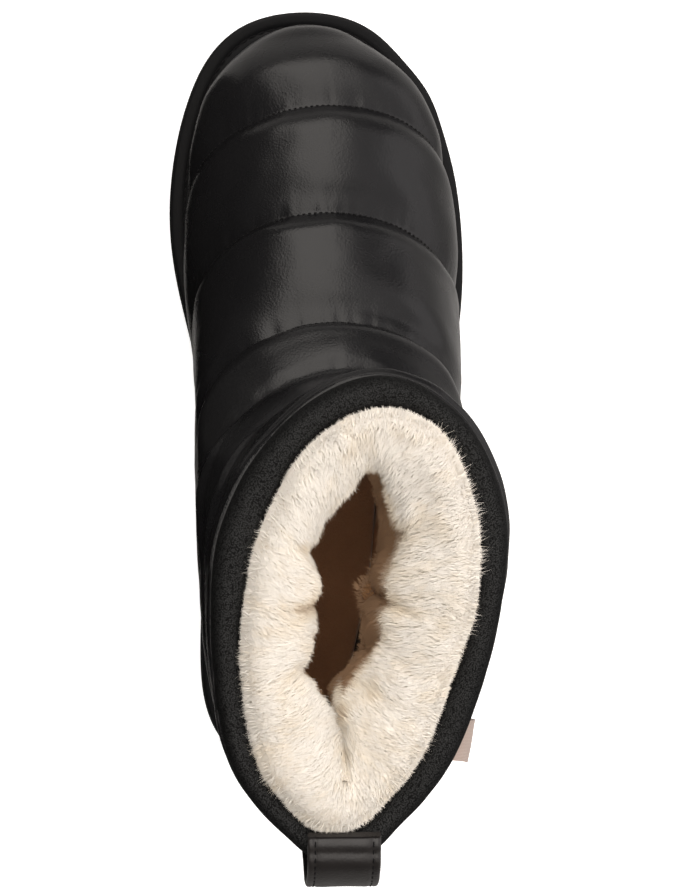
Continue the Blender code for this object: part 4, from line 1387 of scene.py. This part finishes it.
for name, side in (("inner", -1.0), ("outer", 1.0)):
    row_x = STRAP_MIDDLE_X + side * (STRAP_WIDTH / 2.0 - STRAP_SEAM_IN)
    raised = path + outer * (STRAP_THICK / 2.0 * 0.84)
    points = np.column_stack([np.full(len(at), row_x), raised])[3:-3]
    facing = np.column_stack([np.zeros(len(at)), outer])[3:-3]
    row = sewn(f"strap_stitches_{name}", points, facing, pitch=2.7, length=2.0, thick=0.62,
               mat=black_thread, sink=0.0, wander=0.08, seed=12)
    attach(row, "root")


# ------------------------------------------------------------------------------ side tag
# A short length of pale woven ribbon, folded double at its lower edge and caught under the
# binding on the outer side. It is blank.
TAG_EDGE = [
    # drop, front x, front y, rear x, rear y
    (0.3,    39.6,   -98.6,   33.2,  -111.0),
    (11.0,   42.0,   -99.0,   40.2,  -113.0),
]
TAG_BULGE = 1.1
RIBBON_THICK = 0.4
RIBBON_APART = 0.32        # half the distance between its two layers
RIBBON_ACROSS = 16
RIBBON_ALONG = 44


def pale_ribbon():
    """Woven ribbon: fine ribs across it and finer cords along it, darker between them."""
    mat, shader, tree = plain_material("pale woven ribbon", (0.50, 0.40, 0.35), 0.75, 0.5, 0.2)
    place = [(node(tree, "ShaderNodeUVMap", uv_map="UVMap").outputs["UV"], "Vector")]
    ribs = node(tree, "ShaderNodeTexWave", links=place, bands_direction="Y",
                Scale=14.0, Distortion=0.6, Detail=2.0)
    cords = node(tree, "ShaderNodeTexWave", links=place, bands_direction="X",
                 Scale=9.0, Distortion=0.4, Detail=1.0)
    weave = node(tree, "ShaderNodeMath", operation="MULTIPLY",
                 links=[(ribs.outputs["Fac"], 0), (cords.outputs["Fac"], 1)]).outputs[0]
    embossed(tree, shader, weave, 0.12, strength=0.8)
    tree.links.new(two_tones(tree, weave, (0.36, 0.275, 0.235), (0.56, 0.45, 0.395)),
                   shader.inputs["Base Color"])
    return mat


ribbon = first_shape(bpy.ops.mesh.primitive_grid_add, "side_tag_ribbon",
                     x_subdivisions=RIBBON_ACROSS, y_subdivisions=RIBBON_ALONG, size=1.0)
(high_drop, *top_edge), (low_drop, *low_edge) = TAG_EDGE
sheet_points = []
for v in np.linspace(-1.0, 1.0, RIBBON_ALONG + 1):
    t = 1.0 - abs(v)
    front_x, front_y, rear_x, rear_y = np.array(top_edge) * (1.0 - t) + np.array(low_edge) * t
    facing = np.array([front_y - rear_y, rear_x - front_x, 0.0])
    facing /= np.linalg.norm(facing)
    apart = RIBBON_APART * min(1.0, abs(v) / 0.05) * (1.0 if v < 0.0 else -1.0)
    z = COLLAR_Z - high_drop * (1.0 - t) - low_drop * t
    for u in np.linspace(0.0, 1.0, RIBBON_ACROSS + 1):
        bulge = TAG_BULGE * math.sin(math.pi * t) + 0.35 * math.sin(math.pi * u) * t
        sheet_points.append((front_x + (rear_x - front_x) * u + bulge + facing[0] * apart,
                             front_y + (rear_y - front_y) * u + facing[1] * apart,
                             z + 0.25 * math.sin(5.0 * u) * t))
ribbon.data.vertices.foreach_set("co", (np.array(sheet_points) * MM).ravel())
thicken = ribbon.modifiers.new("thickness", "SOLIDIFY")
thicken.thickness = RIBBON_THICK * MM
thicken.offset = 0.0
bpy.ops.object.modifier_apply(modifier=thicken.name)
face_out(ribbon, 60.0)
ribbon.data.materials.append(pale_ribbon())
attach(ribbon, "root")
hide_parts("side_tag")


# ------------------------------------------------------------------------------ floor, light, camera
# A plain white sweep under the boot, one long soft light over its inner side and toe, weaker
# panels on its outer side, a fill that the leather doesn't mirror, and a camera looking almost
# straight down from a little over a metre.
PANEL_ROWS = (
    # left,  right,   y,     z, in metres
    (-0.35,   0.14,   -0.6,   1.6),
    (-0.60,   0.29,    0.5,   1.6),
    (-2.20,   0.68,    3.4,   1.6),
    (-2.20,   0.68,    3.4,   0.85),
)
CAMERA_PLACE = (-0.055, -0.011, 1.160)
CAMERA_ASIDE = 0.06453     # how far beside the point on the floor that it looks at the camera stands


def white_floor():
    """White and evenly lit to look at, but grey where the leather mirrors it."""
    mat, shader, tree = plain_material("white paper sweep", (0.9, 0.9, 0.9), 0.9, 0.0)
    shader.inputs["Emission Color"].default_value = (1.0, 1.0, 1.0, 1.0)
    seen = node(tree, "ShaderNodeLightPath").outputs["Is Camera Ray"]
    tree.links.new(two_tones(tree, seen, (0.42, 0.42, 0.42), (0.90, 0.90, 0.90)),
                   shader.inputs["Base Color"])
    tree.links.new(remapped(tree, seen, 0.0, 1.0, 0.0, 0.6), shader.inputs["Emission Strength"])
    return mat


def softbox(name, centre, aim, size, power, colour):
    """A rectangular soft light, in metres, turned to face the point it is aimed at."""
    lamp = bpy.data.lights.new(name, "AREA")
    lamp.shape = "RECTANGLE"
    lamp.size = size[0]
    lamp.size_y = size[1]
    lamp.energy = power
    lamp.color = colour
    box = in_scene(name, lamp)
    box.location = centre
    box.rotation_euler = (Vector(aim) - Vector(centre)).to_track_quat("-Z", "Y").to_euler()
    return box


floor = first_shape(bpy.ops.mesh.primitive_plane_add, "floor", size=8.0)
floor.data.materials.append(white_floor())

# The long light is a tapered panel of its own shape: over the boot and out over the toe, where
# it widens and turns down a little.
panel_mat, panel_shader, _ = plain_material("light panel", (0.0, 0.0, 0.0), 1.0, 0.0)
panel_shader.inputs["Emission Color"].default_value = (1.0, 0.95, 0.90, 1.0)
panel_shader.inputs["Emission Strength"].default_value = 3.2
panel = first_shape(bpy.ops.mesh.primitive_grid_add, "overhead_softbox", x_subdivisions=1,
                    y_subdivisions=len(PANEL_ROWS) - 1, size=2.0)
for vert in panel.data.vertices:
    left, right, y, z = PANEL_ROWS[round((vert.co.y + 1.0) * 1.5)]
    vert.co = (left if vert.co.x < 0.0 else right, y, z)
panel.data.materials.append(panel_mat)
panel.visible_camera = False

softbox("upper_outer_softbox", (1.65, 1.0, 1.63), (1.65, 1.0, 0.0), (2.60, 3.8), 27.0,
        (1.0, 0.95, 0.94))
softbox("low_outer_softbox", (1.9, 0.4, 0.65), (0.0, 0.4, 0.05), (3.4, 1.3), 19.0,
        (1.0, 0.95, 0.94))
fill = softbox("rear_fill", (0.4, -0.3, 1.60), (0.0, 0.0, 0.15), (2.00, 1.60), 23.0,
               (1.0, 0.95, 0.89))
fill.visible_glossy = False
bulb = bpy.data.lights.new("inside_fill", "POINT")
bulb.energy = 0.045
bulb.shadow_soft_size = 0.012
bulb.color = (1.0, 0.85, 0.7)
inside_fill = in_scene("inside_fill", bulb)
inside_fill.location = (0.002, -0.06, 0.12)
inside_fill.visible_camera = False

# The boot's dark mate would stand close by its inner side. It is left out, but two black flags
# in place of its foot and its shaft, seen in reflections only, keep that side as dark.
black_cloth, _, _ = plain_material("black flag", (0.05, 0.05, 0.05), 1.0, 0.0)
for name, centre, size in (("foot_flag", (-0.129, 0.075, 0.043), (0.134, 0.15, 0.086)),
                           ("shaft_flag", (-0.126, -0.07, 0.095), (0.119, 0.14, 0.19))):
    flag = first_shape(bpy.ops.mesh.primitive_cube_add, name, size=1.0, location=centre)
    flag.dimensions = size
    bpy.ops.object.transform_apply(location=True, rotation=True, scale=True)
    flag.data.materials.append(black_cloth)
    flag.visible_camera = False
    flag.visible_diffuse = False
    flag.visible_shadow = False
    flag.visible_transmission = False

world = bpy.data.worlds.new("studio")
world.use_nodes = True
background = world.node_tree.nodes["Background"]
background.inputs["Color"].default_value = (1.0, 1.0, 1.0, 1.0)
background.inputs["Strength"].default_value = 0.06
bpy.context.scene.world = world
bpy.context.scene.view_settings.view_transform = "Standard"

lens = bpy.data.cameras.new("camera")
lens.lens = 124.6
lens.sensor_width = 36.0
lens.clip_start = 0.05
camera = in_scene("camera", lens)
camera.location = CAMERA_PLACE
camera.rotation_euler = (0.0, -math.atan2(CAMERA_ASIDE, CAMERA_PLACE[2]), 0.0)
bpy.context.scene.camera = camera
